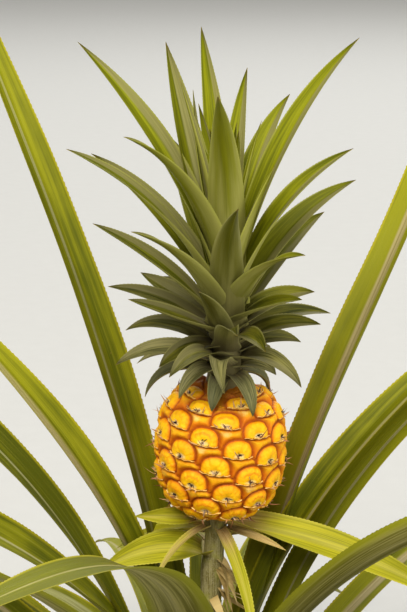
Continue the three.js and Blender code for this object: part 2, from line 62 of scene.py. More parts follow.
FRUIT_HEIGHT = 120
FRUIT_RADIUS = 55.5
FRUIT_SQUARENESS = 2.6  # 2 would be an ellipse
FRUIT_LEAN = 3  # degrees to the right
FRUIT_NOD = 5  # degrees towards the front
FRUITLETS = 66
FRUITLET_TURN = 47  # direction of fruitlet 0, degrees from +X
END_CROWDING = 0.45  # fruitlets at both ends are smaller
FRUIT_MARGIN = 7.5  # fruitlets' worth of bare skin at each end

CROWN_LEAVES = 58
CROWN_TIER = 8
CROWN_CORE_HEIGHT = 92
CROWN_CORE_RADIUS = 15
CROWN_CORE_TIP_RADIUS = 5
CROWN_TWIST = 34
CROWN_BEND = 0.00034  # sideways bend to the left, per mm of height squared
CROWN_TURN = -87 - 8 * GOLDEN

ROSETTE_LEAVES = 32
ROSETTE_TURN = 200
ROSETTE_LOW = 16
ROSETTE_HIGH = 158
ROSETTE_TWIST = 30

BRACTS = 10
BRACT_TURN = 350
BRACT_TOP = 331


def chance(index, trait):
    """A number from 0 to 1 that belongs to a leaf and one of its traits."""
    s = math.sin(index * 12.9898 + trait * 78.233) * 43758.5453
    return s - math.floor(s)


def wobble(index, trait, size):
    return (chance(index, trait) * 2 - 1) * size


def mix(a, b, f):
    return a + (b - a) * f


def smooth(x, low, high):
    """0 below low and 1 above high, with a soft step between."""
    f = np.clip((x - low) / (high - low), 0, 1)
    return f * f * (3 - 2 * f)


def along_stops(stops, place):
    """Reads a curve that is given by a few (place, value) stops, joined smoothly."""
    if place <= stops[0][0]:
        return stops[0][1]
    for (x0, y0), (x1, y1) in zip(stops, stops[1:]):
        if place <= x1:
            return mix(y0, y1, float(smooth(place, x0, x1)))
    return stops[-1][1]


# Meshes from arrays


class Pieces:
    """Points and faces of many small shapes that become one mesh, with values on its points and faces."""

    def __init__(self):
        self.points = []
        self.faces = []
        self.point_values = {}
        self.face_values = {}
        self.count = 0

    def add(self, points, faces, point_values, face_values):
        """Faces are lists of point numbers. A single number serves for all the shape's points or faces."""
        self.points.append(points)
        self.faces += [[i + self.count for i in face] for face in faces]
        self.count += len(points)
        for kept, given, size in (
            (self.point_values, point_values, len(points)),
            (self.face_values, face_values, len(faces)),
        ):
            for name, value in given.items():
                kept.setdefault(name, []).append(np.broadcast_to(value, size))

    def make(self, name, material, smooth_angle=50):
        mesh = bpy.data.meshes.new(name)
        points = np.concatenate(self.points) * MM
        mesh.from_pydata(points.tolist(), [], self.faces)
        for domain, kept in (("POINT", self.point_values), ("FACE", self.face_values)):
            for value_name, values in kept.items():
                attribute = mesh.attributes.new(value_name, "FLOAT", domain)
                attribute.data.foreach_set("value", np.concatenate(values).astype(np.float32))
        mesh.materials.append(material)
        piece = bpy.data.objects.new(name, mesh)
        bpy.context.scene.collection.objects.link(piece)
        select_only(piece)
        bpy.ops.object.shade_smooth_by_angle(angle=math.radians(smooth_angle))
        return piece


def tube_faces(rings, size):
    """Four-sided faces between rings of points that follow each other."""
    return [
        [r * size + i, r * size + (i + 1) % size, (r + 1) * size + (i + 1) % size, (r + 1) * size + i]
        for r in range(rings - 1)
        for i in range(size)
    ]


def closed_tube(rings, size):
    """Faces of a tube with a flat cap at both ends."""
    last = (rings - 1) * size
    return tube_faces(rings, size) + [list(range(size))[::-1], list(range(last, last + size))]


def pointed_tube(rings, size):
    """Faces of a tube with a cap at its foot that runs to a point, which is the last of its points."""
    last = (rings - 1) * size
    tip = [[last + i, last + (i + 1) % size, last + size] for i in range(size)]
    return tube_faces(rings, size) + tip + [list(range(size))[::-1]]


def select_only(piece):
    bpy.ops.object.select_all(action="DESELECT")
    piece.select_set(True)
    bpy.context.view_layer.objects.active = piece


def finish_piece(piece, slot, *nodes):
    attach(piece, "root")
    if nodes:
        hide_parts(*nodes)


# A leaf is a plain record. Its traits are the same as in the solid model:
#   root              point on the axis side where the midrib starts
#   azimuth, sweep    direction of growth seen from above, and how much it turns by the tip
#   lean, droop, bow  degrees from upright at the foot and at the tip, and how the bend is shared out
#   length, width, taper
#   foldFoot, fold    degrees that each half of the blade stands up, at the foot and further out
#   twist             degrees that a leaf at the side has turned towards the front
#   blade             how thick the blade is in the middle of its foot
#   clasp             how much wider the foot is, as a share of the width


def leaf_frame(leaf, t):
    """Directions along, up from and across the blade at shares t of its length."""
    tilt = np.radians(leaf["lean"] + (leaf["droop"] - leaf["lean"]) * t ** leaf["bow"])
    turn = np.radians(leaf["azimuth"] + leaf["sweep"] * t * t)
    out_x, out_y = np.cos(turn), np.sin(turn)
    along = np.column_stack([np.sin(tilt) * out_x, np.sin(tilt) * out_y, np.cos(tilt)])
    up = np.column_stack([-np.cos(tilt) * out_x, -np.cos(tilt) * out_y, np.sin(tilt)])
    twist = np.radians(leaf["twist"] * out_x * t * (2 - t))[:, None]
    up = up * np.cos(twist) + np.cross(along, up) * np.sin(twist)
    return along, up, np.cross(along, up)


def leaf_midrib(leaf, t):
    """Points of the midrib at rising shares t of its length."""
    middle = (t[1:] + t[:-1]) / 2
    strides = leaf_frame(leaf, middle)[0] * (np.diff(t) * leaf["length"])[:, None]
    start = np.array(leaf["root"], float)
    return start + np.vstack([np.zeros(3), np.cumsum(strides, axis=0)])


TOOTH_TIP = 0.72  # where a tooth's tip is, as a share of the way to the next tooth
CHANNEL_DEPTH = 0.05  # of the blade's half width
CHANNEL_SPREAD = 0.2
RIPPLE = 0.025
RIPPLE_STRIDE = 31
FOLD_CHANGE = 0.1
FOLD_STRIDE = 70
OPENING = 0.25  # share of the length over which a blade goes from its foot's fold to its own
CLASP_REACH = 0.12  # share of the length over which a foot is wider
THIN_BLADE = 0.25  # the least that the back stands off the upper face
TIP_THICKNESS = 0.35  # share of the thickness that is left near the tip
THINNING_WIDTH = 8  # a blade that is narrower than this is thinner too
SMALL_TOOTH_WIDTH = 9  # and one that is narrower than this has smaller teeth

# Places across the blade, from edge to edge, on its upper face and its back.
UPPER_FACE = np.array([-1, -0.95, -0.8, -0.55, -0.28, -0.12, 0, 0.12, 0.28, 0.55, 0.8, 0.95, 1])
BACK_FACE = np.array([0.95, 0.7, 0.35, 0, -0.35, -0.7, -0.95])
ACROSS = np.concatenate([UPPER_FACE, BACK_FACE])


def add_leaf(pieces, leaf, number, age, tooth, place=None, **marks):
    """One blade with a toothed margin, a channel along its middle and a thin rounded back."""
    pitch, tooth_height = tooth
    teeth = max(8, int(leaf["length"] / pitch))
    steps = np.arange(teeth)
    t = np.sort(np.concatenate([steps, steps + TOOTH_TIP])) / teeth
    is_tip = np.arange(len(t)) % 2 == 1
    midrib = leaf_midrib(leaf, np.append(t, 1.0))
    along, up, side = leaf_frame(leaf, t)
    phase = chance(number, 31) * 6.28
    way = t * leaf["length"]
    ripple = 1 + RIPPLE * np.sin(way / RIPPLE_STRIDE + phase)
    width = leaf["width"] * (1 - t ** leaf["taper"]) * ripple
    width = width * (1 + leaf.get("clasp", 0) * (1 - smooth(t, 0.0, CLASP_REACH)))
    half = width / 2
    fold = np.radians(mix(leaf["foldFoot"], leaf["fold"], np.minimum(1, t / OPENING)))
    fold = fold * (1 + FOLD_CHANGE * np.sin(way / FOLD_STRIDE + 2 * phase))
    thick = leaf["blade"] * mix(TIP_THICKNESS, 1, (1 - t) ** 0.5)
    thick = thick * np.minimum(1, width / THINNING_WIDTH)
    reach = np.where(is_tip, tooth_height, 0) * smooth(t, 0.03, 0.12)
    reach = reach * np.minimum(1, width / SMALL_TOOTH_WIDTH)
    rings = []
    for row, across in enumerate(ACROSS):
        back = row >= len(UPPER_FACE)
        depth = thick * (1 - abs(across) ** 2.5) + THIN_BLADE if back else 0.0
        channel = 0.0 if back else CHANNEL_DEPTH * half * math.exp(-((across / CHANNEL_SPREAD) ** 2))
        radius = half / fold + depth + channel
        angle = fold * across
        sideways = radius * np.sin(angle)
        raised = half / fold - radius * np.cos(angle)
        if abs(across) == 1:
            sideways = sideways + across * reach * np.cos(angle)
            raised = raised + reach * np.abs(np.sin(angle))
        rings.append(midrib[:-1] + side * sideways[:, None] + up * raised[:, None])
    points = np.stack(rings, axis=1).reshape(-1, 3)
    points = np.vstack([points, midrib[-1]])
    if place:
        points = place(points)
    size = len(ACROSS)
    upper = np.append(np.tile(np.arange(size) < len(UPPER_FACE) - 1, len(t)), False)
    point_values = {
        "across": np.append(np.tile(ACROSS, len(t)), 0),
        "along": np.append(np.repeat(t, size), 1),
    }
    face_values = {"upper": upper, "age": age, "seed": chance(number, 30), **marks}
    pieces.add(points, pointed_tube(len(t), size), point_values, face_values)


def with_own(leaf, own):
    """Gives a leaf the traits that are its own. A turn is added to its direction."""
    traits = {**leaf, **own}
    traits["azimuth"] += traits.pop("turn", 0)
    return traits


def rooted(leaf, distance, height, centre=(0, 0, 0)):
    turn = math.radians(leaf["azimuth"])
    root = [
        centre[0] + math.cos(turn) * distance,
        centre[1] + math.sin(turn) * distance,
        centre[2] + height,
    ]
    return {**leaf, "root": root}


# The rosette: long leaves on the stem. Stops go from the lowest leaf, at 0, to the innermost, at 1.

ROSETTE_LEAN = [(0, 44), (0.5, 24), (1, 2)]
ROSETTE_DROOP = [(0, 110), (0.5, 98), (1, 60)]
ROSETTE_LENGTH = [(0, 540), (0.4, 760), (0.75, 740), (1, 600)]
ROSETTE_OWN = {
    7: dict(lean=46, droop=118),
    10: dict(lean=46, droop=118),
    12: dict(lean=44, droop=112, length=700),
    15: dict(lean=54, droop=116, length=560),
    16: dict(lean=23, droop=87, length=755),
    17: dict(lean=3, droop=82, length=700),
    18: dict(lean=40, droop=112, length=660),
    19: dict(lean=45, droop=112, length=620),
    20: dict(lean=56, droop=122, length=440),
    21: dict(turn=3, lean=15, droop=81, length=798, width=42, sweep=1, bow=1.16, twist=77),
    22: dict(lean=40, droop=104, length=640),
    23: dict(lean=60, droop=116, length=430),
    24: dict(turn=5, lean=28, droop=90.5, length=760, width=54, sweep=-25, bow=0.94, foldFoot=15, fold=15),
    25: dict(
        turn=-8, lean=0, droop=57, length=820, width=46, sweep=67, bow=0.64, foldFoot=40, fold=48, twist=-12
    ),
    26: dict(turn=6, lean=-6, droop=55, length=490, width=42, sweep=-31, bow=0.7, twist=30),
    27: dict(turn=12, lean=9, droop=90, length=585, width=43, sweep=13, bow=0.7, twist=-62),
    28: dict(lean=36, droop=104, length=520),
    29: dict(lean=19, droop=70, length=565, width=43, sweep=-11, bow=0.6, twist=78),
    30: dict(turn=5, lean=-5, droop=66, length=478, width=38, sweep=20, bow=0.67, twist=26),
    31: dict(
        turn=7, lean=-4, droop=35.3, length=800, width=39, sweep=-19, bow=0.46, foldFoot=38, fold=38, twist=23
    ),
}


def stem_radius(z):
    return mix(STEM_RADIUS, STEM_TOP_RADIUS, max(0, (z - STEM_HEIGHT * 0.6) / (STEM_HEIGHT * 0.4)))


def rosette_leaf(k):
    age = k / (ROSETTE_LEAVES - 1)
    height = mix(ROSETTE_LOW, ROSETTE_HIGH, age)
    rule = dict(
        azimuth=ROSETTE_TURN + GOLDEN * k,
        sweep=wobble(k, 12, 8),
        lean=along_stops(ROSETTE_LEAN, age) + wobble(k, 13, 3),
        droop=along_stops(ROSETTE_DROOP, age) + wobble(k, 14, 8),
        bow=0.88,
        length=along_stops(ROSETTE_LENGTH, age) * (1 + wobble(k, 15, 0.06)),
        width=mix(36, 31, age),
        taper=3,
        foldFoot=34,
        fold=34,
        twist=ROSETTE_TWIST + wobble(k, 16, 10),
        blade=2.2,
        clasp=0.35,
    )
    leaf = with_own(rule, ROSETTE_OWN.get(k, {}))
    return rooted(leaf, stem_radius(height) + 0.8, height)


ROSETTE_TEETH = 4.6, 0.55  # pitch and height
BRACT_TEETH = 3.5, 0.5
CROWN_TEETH = 3.0, 0.35

# The pale line along a long leaf: its place across the leaf, half width and tan; and how light the leaf is.
LEAF_LINES = {
    16: (0.1, 0.2, 0.5, 0.5),
    17: (0.0, 0.12, 0.3, 1.0),
    21: (-0.1, 0.1, 0.1, 0.0),
    24: (0.1, 0.06, 0.3, 0.0),
    25: (0.15, 0.32, 0.7, 1.0),
    26: (-0.85, 0.75, 0.55, 0.55),
    27: (0.1, 0.25, 0.3, 0.4),
    29: (-0.1, 0.12, 0.2, 0.35),
    30: (0.9, 0.4, 0.3, 0.25),
    31: (-0.3, 0.13, 0.1, 0.58),
}


def leaf_line(k):
    usual = (wobble(k, 61, 0.3), 0.3 + wobble(k, 62, 0.12), chance(k, 63), chance(k, 64))
    return dict(zip(("line", "line_width", "tan", "tone"), LEAF_LINES.get(k, usual)))


def make_rosette(material, group=8):
    for first in range(0, ROSETTE_LEAVES, group):
        numbers = range(first, min(first + group, ROSETTE_LEAVES))
        pieces = Pieces()
        for k in numbers:
            age = k / (ROSETTE_LEAVES - 1)
            add_leaf(pieces, rosette_leaf(k), k, age, ROSETTE_TEETH, **leaf_line(k))
        piece = pieces.make(f"rosette_leaves_{first // group + 1}", material)
        finish_piece(piece, "leaf", *[f"leaf_{k + 1:02d}" for k in numbers])


# The stalk and the bracts on it

fruit_foot = Vector((STALK_SHIFT, 0, STEM_HEIGHT + STALK_HEIGHT))
fruit_turn = Matrix.Rotation(math.radians(FRUIT_NOD), 3, "X") @ Matrix.Rotation(
    math.radians(FRUIT_LEAN), 3, "Y"
)
fruit_up = fruit_turn @ Vector((0, 0, 1))


def on_fruit(points):
    """Turns points of the fruit's own frame into the plant's frame."""
    return points @ np.array(fruit_turn).T + np.array(fruit_foot)


def stalk_handles():
    pull = STALK_HEIGHT / 3
    return [
        Vector((0, 0, STEM_HEIGHT)),
        Vector((0, 0, STEM_HEIGHT + pull)),
        fruit_foot - fruit_up * pull,
        fruit_foot,
    ]


def stalk_point(f):
    a, b, c, d = stalk_handles()
    g = 1 - f
    return a * g**3 + b * (3 * g * g * f) + c * (3 * g * f * f) + d * f**3


def stalk_radius(f):
    stops = [(0, STALK_FOOT_RADIUS), (0.3, STALK_RADIUS), (0.86, STALK_RADIUS), (1, STALK_HEAD_RADIUS)]
    return along_stops(stops, f)


BRACT_OWN = {
    0: dict(rise=1, lean=93, droop=120, length=205, width=33, twist=64),
    1: dict(turn=-17, rise=7, lean=82, droop=84, length=62, width=19, twist=80),
    2: dict(length=70),
    3: dict(turn=-9, rise=3, lean=98, droop=158, length=134, width=13),
    5: dict(length=80),
    6: dict(turn=-18, rise=15, lean=84, droop=150, length=82, width=9),
    8: dict(rise=22, lean=90, droop=106, length=60, width=10, twist=50),
    9: dict(turn=8, rise=4, lean=62, droop=120, length=96, width=34, twist=80),
}


def bract(k):
    own = dict(BRACT_OWN.get(k, {}))
    height = BRACT_TOP - 1.2 * k - 0.25 * k * k + own.pop("rise", 0)
    rule = dict(
        azimuth=BRACT_TURN - GOLDEN * k,
        sweep=wobble(k, 22, 8),
        lean=86 + wobble(k, 23, 5),
        droop=132 + wobble(k, 24, 12),
        bow=0.9,
        length=95 * (1 + wobble(k, 25, 0.1)),
        width=20,
        taper=2.4,
        foldFoot=60,
        fold=34,
        twist=wobble(k, 26, 20),
        blade=1.1,
    )
    share = (height - STEM_HEIGHT) / STALK_HEIGHT
    leaf = with_own(rule, own)
    return rooted(leaf, stalk_radius(share) + 0.7, 0, stalk_point(share))


# How dry each bract is, from 0, green, to 1, straw.
BRACT_DRYNESS = {0: 0.25, 1: 0.4, 3: 0.4, 6: 0.6, 8: 0.9, 9: 0.05}
USUAL_DRYNESS = 0.3


def make_bracts(material):
    pieces = Pieces()
    for k in range(BRACTS):
        add_leaf(pieces, bract(k), k + 40, BRACT_DRYNESS.get(k, USUAL_DRYNESS), BRACT_TEETH)
    piece = pieces.make("stalk_bracts", material)
    finish_piece(piece, "bract", *[f"bract_{k + 1:02d}" for k in range(BRACTS)])


# The crown. Stops go from the lowest leaf, at 0, to the innermost, at 1.

CROWN_LEAN = [(0, 76), (0.26, 62), (0.52, 45), (0.75, 12), (1, 2)]
CROWN_DROOP = [(0, 184), (0.18, 134), (0.35, 92), (0.62, 70), (0.8, 42), (1, 20)]
CROWN_LENGTH = [(0, 42), (0.18, 82), (0.35, 94), (0.55, 155), (0.8, 226), (1, 130)]
CROWN_WIDTH = [(0, 18), (0.3, 22), (0.5, 27), (0.75, 29), (0.88, 23), (1, 13)]
CROWN_OWN = {
    0: dict(turn=4),
    1: dict(lean=86, droop=180, length=48),
    2: dict(lean=80, droop=169, length=71, width=20),
    3: dict(turn=-8, lean=78, droop=171, length=52),
    5: dict(turn=9, lean=67, length=54),
    6: dict(turn=-14, lean=58, droop=140, length=36),
    7: dict(turn=15, lean=79, droop=136, length=80),
    8: dict(turn=-11, lean=56, droop=116, length=105, sweep=22),
    9: dict(length=56),
    10: dict(lean=65, droop=131, length=86),
    11: dict(turn=-3, lean=59, droop=143, length=73),
    14: dict(length=60),
    15: dict(droop=127, length=88),
    16: dict(turn=-24, lean=42, droop=90, length=104, sweep=15),
    18: dict(turn=5, lean=75, droop=130, length=60),
    19: dict(turn=3, lean=48, droop=97, length=76),
    21: dict(turn=-4, lean=43, droop=63, length=115),
    22: dict(turn=-3, lean=69, droop=108, length=102),
    23: dict(droop=92, length=99),
    24: dict(turn=-15, lean=58, droop=115, length=60),
    26: dict(turn=-2, lean=64, droop=66, length=116),
    27: dict(turn=2, lean=39, droop=92, length=76),
    28: dict(turn=-4, lean=72, droop=78, length=92),
    29: dict(turn=-12, lean=29, droop=53, length=172, sweep=18, width=31),
    30: dict(turn=-4, lean=51, droop=77, length=153),
    31: dict(turn=1, lean=39, droop=63, length=137),
    32: dict(turn=-15, lean=51, droop=76, length=84),
    34: dict(turn=-5, lean=40, droop=70, length=182),
    35: dict(turn=2, lean=27, droop=75, length=164),
    36: dict(lean=22, droop=64, length=165),
    37: dict(turn=-6, lean=40, droop=75, length=158),
    38: dict(length=150),
    39: dict(turn=-4, lean=24, droop=65, length=201),
    40: dict(lean=15, droop=60, length=178),
    41: dict(turn=-7, lean=12, droop=52, length=146),
    42: dict(turn=5, lean=6, droop=47, length=215, width=34),
    43: dict(turn=1, lean=3, droop=56, length=189),
    44: dict(lean=12, droop=42, length=233, width=33, twist=48),
    45: dict(lean=14, droop=30, length=130),
    46: dict(turn=-3, lean=12, droop=46, length=231),
    47: dict(turn=-2, lean=13, droop=70, length=204, width=34),
    48: dict(lean=12, droop=51, length=247),
    49: dict(lean=15, droop=5, length=203, width=36),
    50: dict(length=150),
    51: dict(turn=-1, lean=2, droop=39, length=185),
    52: dict(lean=6, droop=12, length=175),
    53: dict(length=145, width=12),
    57: dict(lean=14, droop=-4, length=155),
}


def core_radius(z):
    return mix(CROWN_CORE_RADIUS, CROWN_CORE_TIP_RADIUS, z / CROWN_CORE_HEIGHT)


def crown_leaf(k):
    age = k / (CROWN_LEAVES - 1)
    height = mix(5, CROWN_CORE_HEIGHT - 3, age)
    rule = dict(
        azimuth=CROWN_TURN + GOLDEN * k,
        sweep=wobble(k, 2, 5),
        lean=along_stops(CROWN_LEAN, age) + wobble(k, 3, 3),
        droop=along_stops(CROWN_DROOP, age) + wobble(k, 4, 7),
        bow=1.2,
        length=along_stops(CROWN_LENGTH, age) * (1 + wobble(k, 5, 0.05)),
        width=along_stops(CROWN_WIDTH, age),
        taper=2.8,
        foldFoot=38,
        fold=40,
        twist=CROWN_TWIST + wobble(k, 6, 8),
        blade=1.3,
        clasp=0.25,
    )
    leaf = with_own(rule, CROWN_OWN.get(k, {}))
    return rooted(leaf, core_radius(height) - 2.5, height)


def on_crown(points):
    """Bends points of the crown's own frame to the left and sets them on top of the fruit."""
    bent = points.copy()
    bent[:, 0] -= CROWN_BEND * points[:, 2] ** 2
    bent[:, 2] += FRUIT_HEIGHT
    return on_fruit(bent)


def add_crown_core(pieces, rings=14, sides=24):
    heights = np.linspace(-6, CROWN_CORE_HEIGHT, rings)
    turn = np.arange(sides) * 2 * math.pi / sides
    points = [
        np.column_stack([core_radius(z) * np.cos(turn), core_radius(z) * np.sin(turn), np.full(sides, z)])
        for z in heights
    ]
    points = on_crown(np.vstack(points))
    face_values = {"upper": 0.0, "age": 0.3, "seed": 0.5}
    pieces.add(points, closed_tube(rings, sides), {"across": 0.0, "along": 0.02}, face_values)


def make_crown(material, group=16):
    for first in range(0, CROWN_LEAVES, group):
        numbers = range(first, min(first + group, CROWN_LEAVES))
        pieces = Pieces()
        for k in numbers:
            add_leaf(pieces, crown_leaf(k), k + 60, k / (CROWN_LEAVES - 1), CROWN_TEETH, on_crown)
        if first == 0:
            add_crown_core(pieces)
        piece = pieces.make(f"crown_leaves_{first // group + 1}", material)
        tiers = range(first // CROWN_TIER + 1, (numbers[-1]) // CROWN_TIER + 2)
        finish_piece(piece, "crown", *[f"crown_tier_{tier}" for tier in tiers])


# The fruit

OUTLINE_STEPS = 2400
FULL_ROOM = 643  # mm2 of skin round a fruitlet of size 1


class FruitOutline:
    """The fruit's side line from foot to top: radius, height, way walked and fruitlets passed."""

    def __init__(self):
        power = 2 / FRUIT_SQUARENESS
        turn = np.linspace(-math.pi / 2, math.pi / 2, OUTLINE_STEPS + 1)
        s = np.sin(turn)
        radius = FRUIT_RADIUS * np.maximum(0, np.cos(turn)) ** power
        height = FRUIT_HEIGHT / 2 * (1 + np.sign(s) * np.abs(s) ** power)
        stride = np.hypot(np.diff(radius), np.diff(height))
        share = (radius[1:] + radius[:-1]) / 2 / FRUIT_RADIUS
        count = np.append(0, np.cumsum(stride * share ** (1 - END_CROWDING)))
        self.radius = radius
        self.height = height
        self.way = np.append(0, np.cumsum(stride))
        self.passed = count / count[-1] * (FRUITLETS - 1 + 2 * FRUIT_MARGIN) - FRUIT_MARGIN
        slope = np.gradient(radius, self.way), np.gradient(height, self.way)
        size = np.hypot(*slope)
        self.out = slope[1] / size
        self.rise = -slope[0] / size

    def at(self, way, turn, lift=0.0):
        """The point at a way from the foot and a direction in radians, lifted off the skin."""
        radius = np.interp(way, self.way, self.radius) + lift * np.interp(way, self.way, self.out)
        height = np.interp(way, self.way, self.height) + lift * np.interp(way, self.way, self.rise)
        radius, height, turn = np.broadcast_arrays(radius, height, turn)
        return np.stack([radius * np.cos(turn), radius * np.sin(turn), height], axis=-1)


outline = FruitOutline()


def fruitlets():
    """Way from the foot, direction in radians and size of each fruitlet, from the lowest to the highest."""
    numbers = np.arange(FRUITLETS)
    way = np.interp(numbers, outline.passed, outline.way)
    turn = np.radians(FRUITLET_TURN + GOLDEN * numbers)
    around = 2 * math.pi * np.interp(way, outline.way, outline.radius)
    room = around * np.interp(way, outline.way, np.gradient(outline.way, outline.passed))
    return way, turn, np.sqrt(room / FULL_ROOM)


# In a fruitlet's own millimetres: x to the right and y up the fruit, from its eye.
DOME_HALF_WIDTH = 13.2
DOME_HEIGHT = 11.6
DOME_POWER = 2.3
LIP_DROP = 4.0
LIP_SLANT = 0.06
LIP_SAG = 0.006
LIP_WAVE = 0.35
LIP_HEIGHT = 0.6
LIP_WEIGHT = 12  # how far from the lip line counts as much as the whole of a dome's arch
BODY_HALF_WIDTH = 14
BODY_HALF_HEIGHT = 10
BODY_DROP = 11  # from the eye to the middle of the body, which is the bract below a dome
BODY_REACH = 13
GROOVE_DEPTH = 3.7
SPLIT_DEPTH = 1.9
DEEPEST = 3.8
DOME_HOLLOW = 0.9  # how much lower the middle of a dome is than its shoulder
WRINKLE = 0.13
EYE_DEPTH = 1.4
EYE_SPREAD = 2.8
CREASE_DEPTH = 0.45
CREASE_SPREAD = 0.9
BODY_TOP = 0.3
BODY_SLOPE = 1.0
BODY_WAVES = 0.22, 0.15


def lip_line(x):
    """How high the bract's margin runs across the fruitlet."""
    return -LIP_DROP - LIP_SLANT * x + LIP_SAG * x * x


def dome_arch(x, y):
    """0 at the eye and below it, 1 on the arch that bounds a dome at its sides and top."""
    high = np.maximum(y, 0) / DOME_HEIGHT
    return (np.abs(x / DOME_HALF_WIDTH) ** DOME_POWER + high**DOME_POWER) ** (1 / DOME_POWER)


def fruitlet_fields(way, turn):
    """For a grid of places on the skin: which fruitlet each is on, where in it, and how far its edges are."""
    radius = np.interp(way, outline.way, outline.radius)
    shape = np.broadcast(way, turn).shape
    far = np.full(shape, 9.0)
    rim, next_rim, near, second = far, far, far, far
    on_dome, on_body = ({name: np.zeros(shape) for name in ("x", "y", "tint")} for _ in range(2))
    for number, (its_way, its_turn, size) in enumerate(zip(*fruitlets())):
        around = (turn - its_turn + math.pi) % (2 * math.pi) - math.pi
        x = around * radius / size + 0 * way
        y = (way - its_way) / size + 0 * turn
        here = {"x": x, "y": y, "tint": chance(number, 50)}
        edge = np.maximum(dome_arch(x, y) - 1, (lip_line(x) - y) / LIP_WEIGHT)
        closer = edge < rim
        next_rim = np.where(closer, rim, np.minimum(next_rim, edge))
        rim = np.where(closer, edge, rim)
        away = np.hypot(x / BODY_HALF_WIDTH, (y + BODY_DROP) / BODY_HALF_HEIGHT)
        away = away + np.where(y > lip_line(x), 2.0, 0.0)
        first = away < near
        second = np.where(first, near, np.minimum(second, away))
        near = np.where(first, away, near)
        for name, value in here.items():
            on_dome[name] = np.where(closer, value, on_dome[name])
            on_body[name] = np.where(first, value, on_body[name])
    dome = rim < 0
    fields = {name: np.where(dome, on_dome[name], on_body[name]) for name in on_dome}
    return {**fields, "dome": dome, "rim": rim, "split": np.where(dome, next_rim - rim, second - near)}


def fruitlet_height(f):
    """How far the skin stands off the outline: domes above the eyes, and bracts that slope away below."""
    x, y, split, tint = (f[name] for name in ("x", "y", "split", "tint"))
    arch = np.minimum(dome_arch(x, y), 1)
    dome = mix(-GROOVE_DEPTH, 1, (1 - arch**DOME_POWER) ** 0.7)
    dome = dome - DOME_HOLLOW * (1 - smooth(arch, 0.12, 0.55))
    bearing = np.arctan2(y + 3, x)
    wrinkle = np.sin(bearing * 11 + tint * 40) + np.sin(bearing * 19 + tint * 70)
    dome = dome + WRINKLE * wrinkle * smooth(arch, 0.2, 0.6)
    dome = mix(-GROOVE_DEPTH, dome, smooth(split, 0.0, 0.3) ** 0.6)
    eye = np.hypot(x, (y + 1.2) * 1.2)
    dome = dome - EYE_DEPTH * np.exp(-((eye / EYE_SPREAD) ** 2))
    crease = np.abs(np.abs(x) - 0.55 * (y + 2)) * smooth(y, 0, 3)
    dome = dome - CREASE_DEPTH * np.exp(-((crease / CREASE_SPREAD) ** 2)) * smooth(y, 1, 4)
    fall = np.maximum(0, lip_line(x) - y)
    body = BODY_TOP - BODY_SLOPE * (smooth(fall, 0, BODY_REACH) + (x / BODY_REACH) ** 2)
    body = body + BODY_WAVES[0] * np.sin(x * 0.9 + tint * 30) + BODY_WAVES[1] * np.sin(x * 2.1 + fall)
    body = mix(-GROOVE_DEPTH, body, smooth(f["rim"], 0.0, 0.34) ** 0.8)
    body = body - SPLIT_DEPTH * (1 - smooth(split, 0.0, 0.34))
    return np.where(f["dome"], dome, np.maximum(body, -DEEPEST))


def make_fruit(material, rows=236, columns=404):
    way = np.linspace(0, outline.way[-1], rows + 2)[1:-1]
    turn = np.arange(columns) * 2 * math.pi / columns
    fields = fruitlet_fields(way[:, None], turn[None, :])
    ends = smooth(np.interp(way, outline.way, outline.radius), 2, 14)[:, None]
    lift = fruitlet_height(fields) * ends
    points = outline.at(way[:, None], turn[None, :], lift).reshape(-1, 3)
    points = np.vstack([points, [0, 0, 0], [0, 0, FRUIT_HEIGHT]])
    faces = tube_faces(rows, columns)
    for i in range(columns):
        j = (i + 1) % columns
        faces.append([len(points) - 2, j, i])
        faces.append([len(points) - 1, (rows - 1) * columns + i, (rows - 1) * columns + j])
    x, y = fields.pop("x"), fields.pop("y")
    values = {
        **fields,
        "arch": np.where(fields["dome"], dome_arch(x, y), 1.0),
        "eye": np.hypot(x / 6.0, (y + 1.8) / 3.0),
        "patch": np.hypot(x / 6.0, (y + 8.0) / 4.0),
        "fall": -y - LIP_DROP,
        "height": np.broadcast_to((way / outline.way[-1])[:, None], x.shape),
    }
    values = {name: np.append(value.reshape(-1).astype(float), [0, 0]) for name, value in values.items()}
    pieces = Pieces()
    pieces.add(on_fruit(points), faces, values, {})
    finish_piece(pieces.make("fruit_rind", material, 180), "fruit", "fruit")


def fruitlet_point(number, x, y, lift):
    """A point of a fruitlet in the plant's frame, from its own millimetres."""
    way, turn, size = (value[number] for value in fruitlets())
    at_way = way + np.asarray(y) * size
    radius = np.maximum(np.interp(at_way, outline.way, outline.radius), 4)
    at_turn = turn + np.asarray(x) * size / radius
    return on_fruit(outline.at(at_way, at_turn, lift).reshape(-1, 3))


def fruitlet_axes(number):
    """The right, up and outward directions at a fruitlet's eye."""
    here = fruitlet_point(number, 0, 0, 0)[0]
    right = fruitlet_point(number, 1, 0, 0)[0] - here
    rise = fruitlet_point(number, 0, 1, 0)[0] - here
    out = fruitlet_point(number, 0, 0, 1)[0] - here
    return [v / np.linalg.norm(v) for v in (right, rise, out)]


def add_sliver(pieces, start, direction, bend, length, width, thick, values, rings=6):
    """A thin curved blade that runs to a point: a dry bract tip or a shred of a dry flower."""
    direction = direction / np.linalg.norm(direction)
    side = np.cross(direction, bend)
    side = side / np.linalg.norm(side)
    up = np.cross(side, direction)
    f = np.arange(rings) / rings
    middle = start + direction * (f * length)[:, None] + bend * (f * f * length)[:, None]
    half = (width / 2 * (1 - f**1.6))[:, None]
    deep = (thick * (1 - f * 0.7))[:, None]
    left = middle - side * half + up * deep
    right = middle + side * half + up * deep
    points = np.stack([left, middle, right, middle + up * deep * 1.1], axis=1).reshape(-1, 3)
    points = np.vstack([points, start + direction * length + bend * length])
    along = np.append(np.repeat(f, 4), 1)
    pieces.add(points, pointed_tube(rings, 4), {"along": along}, values)


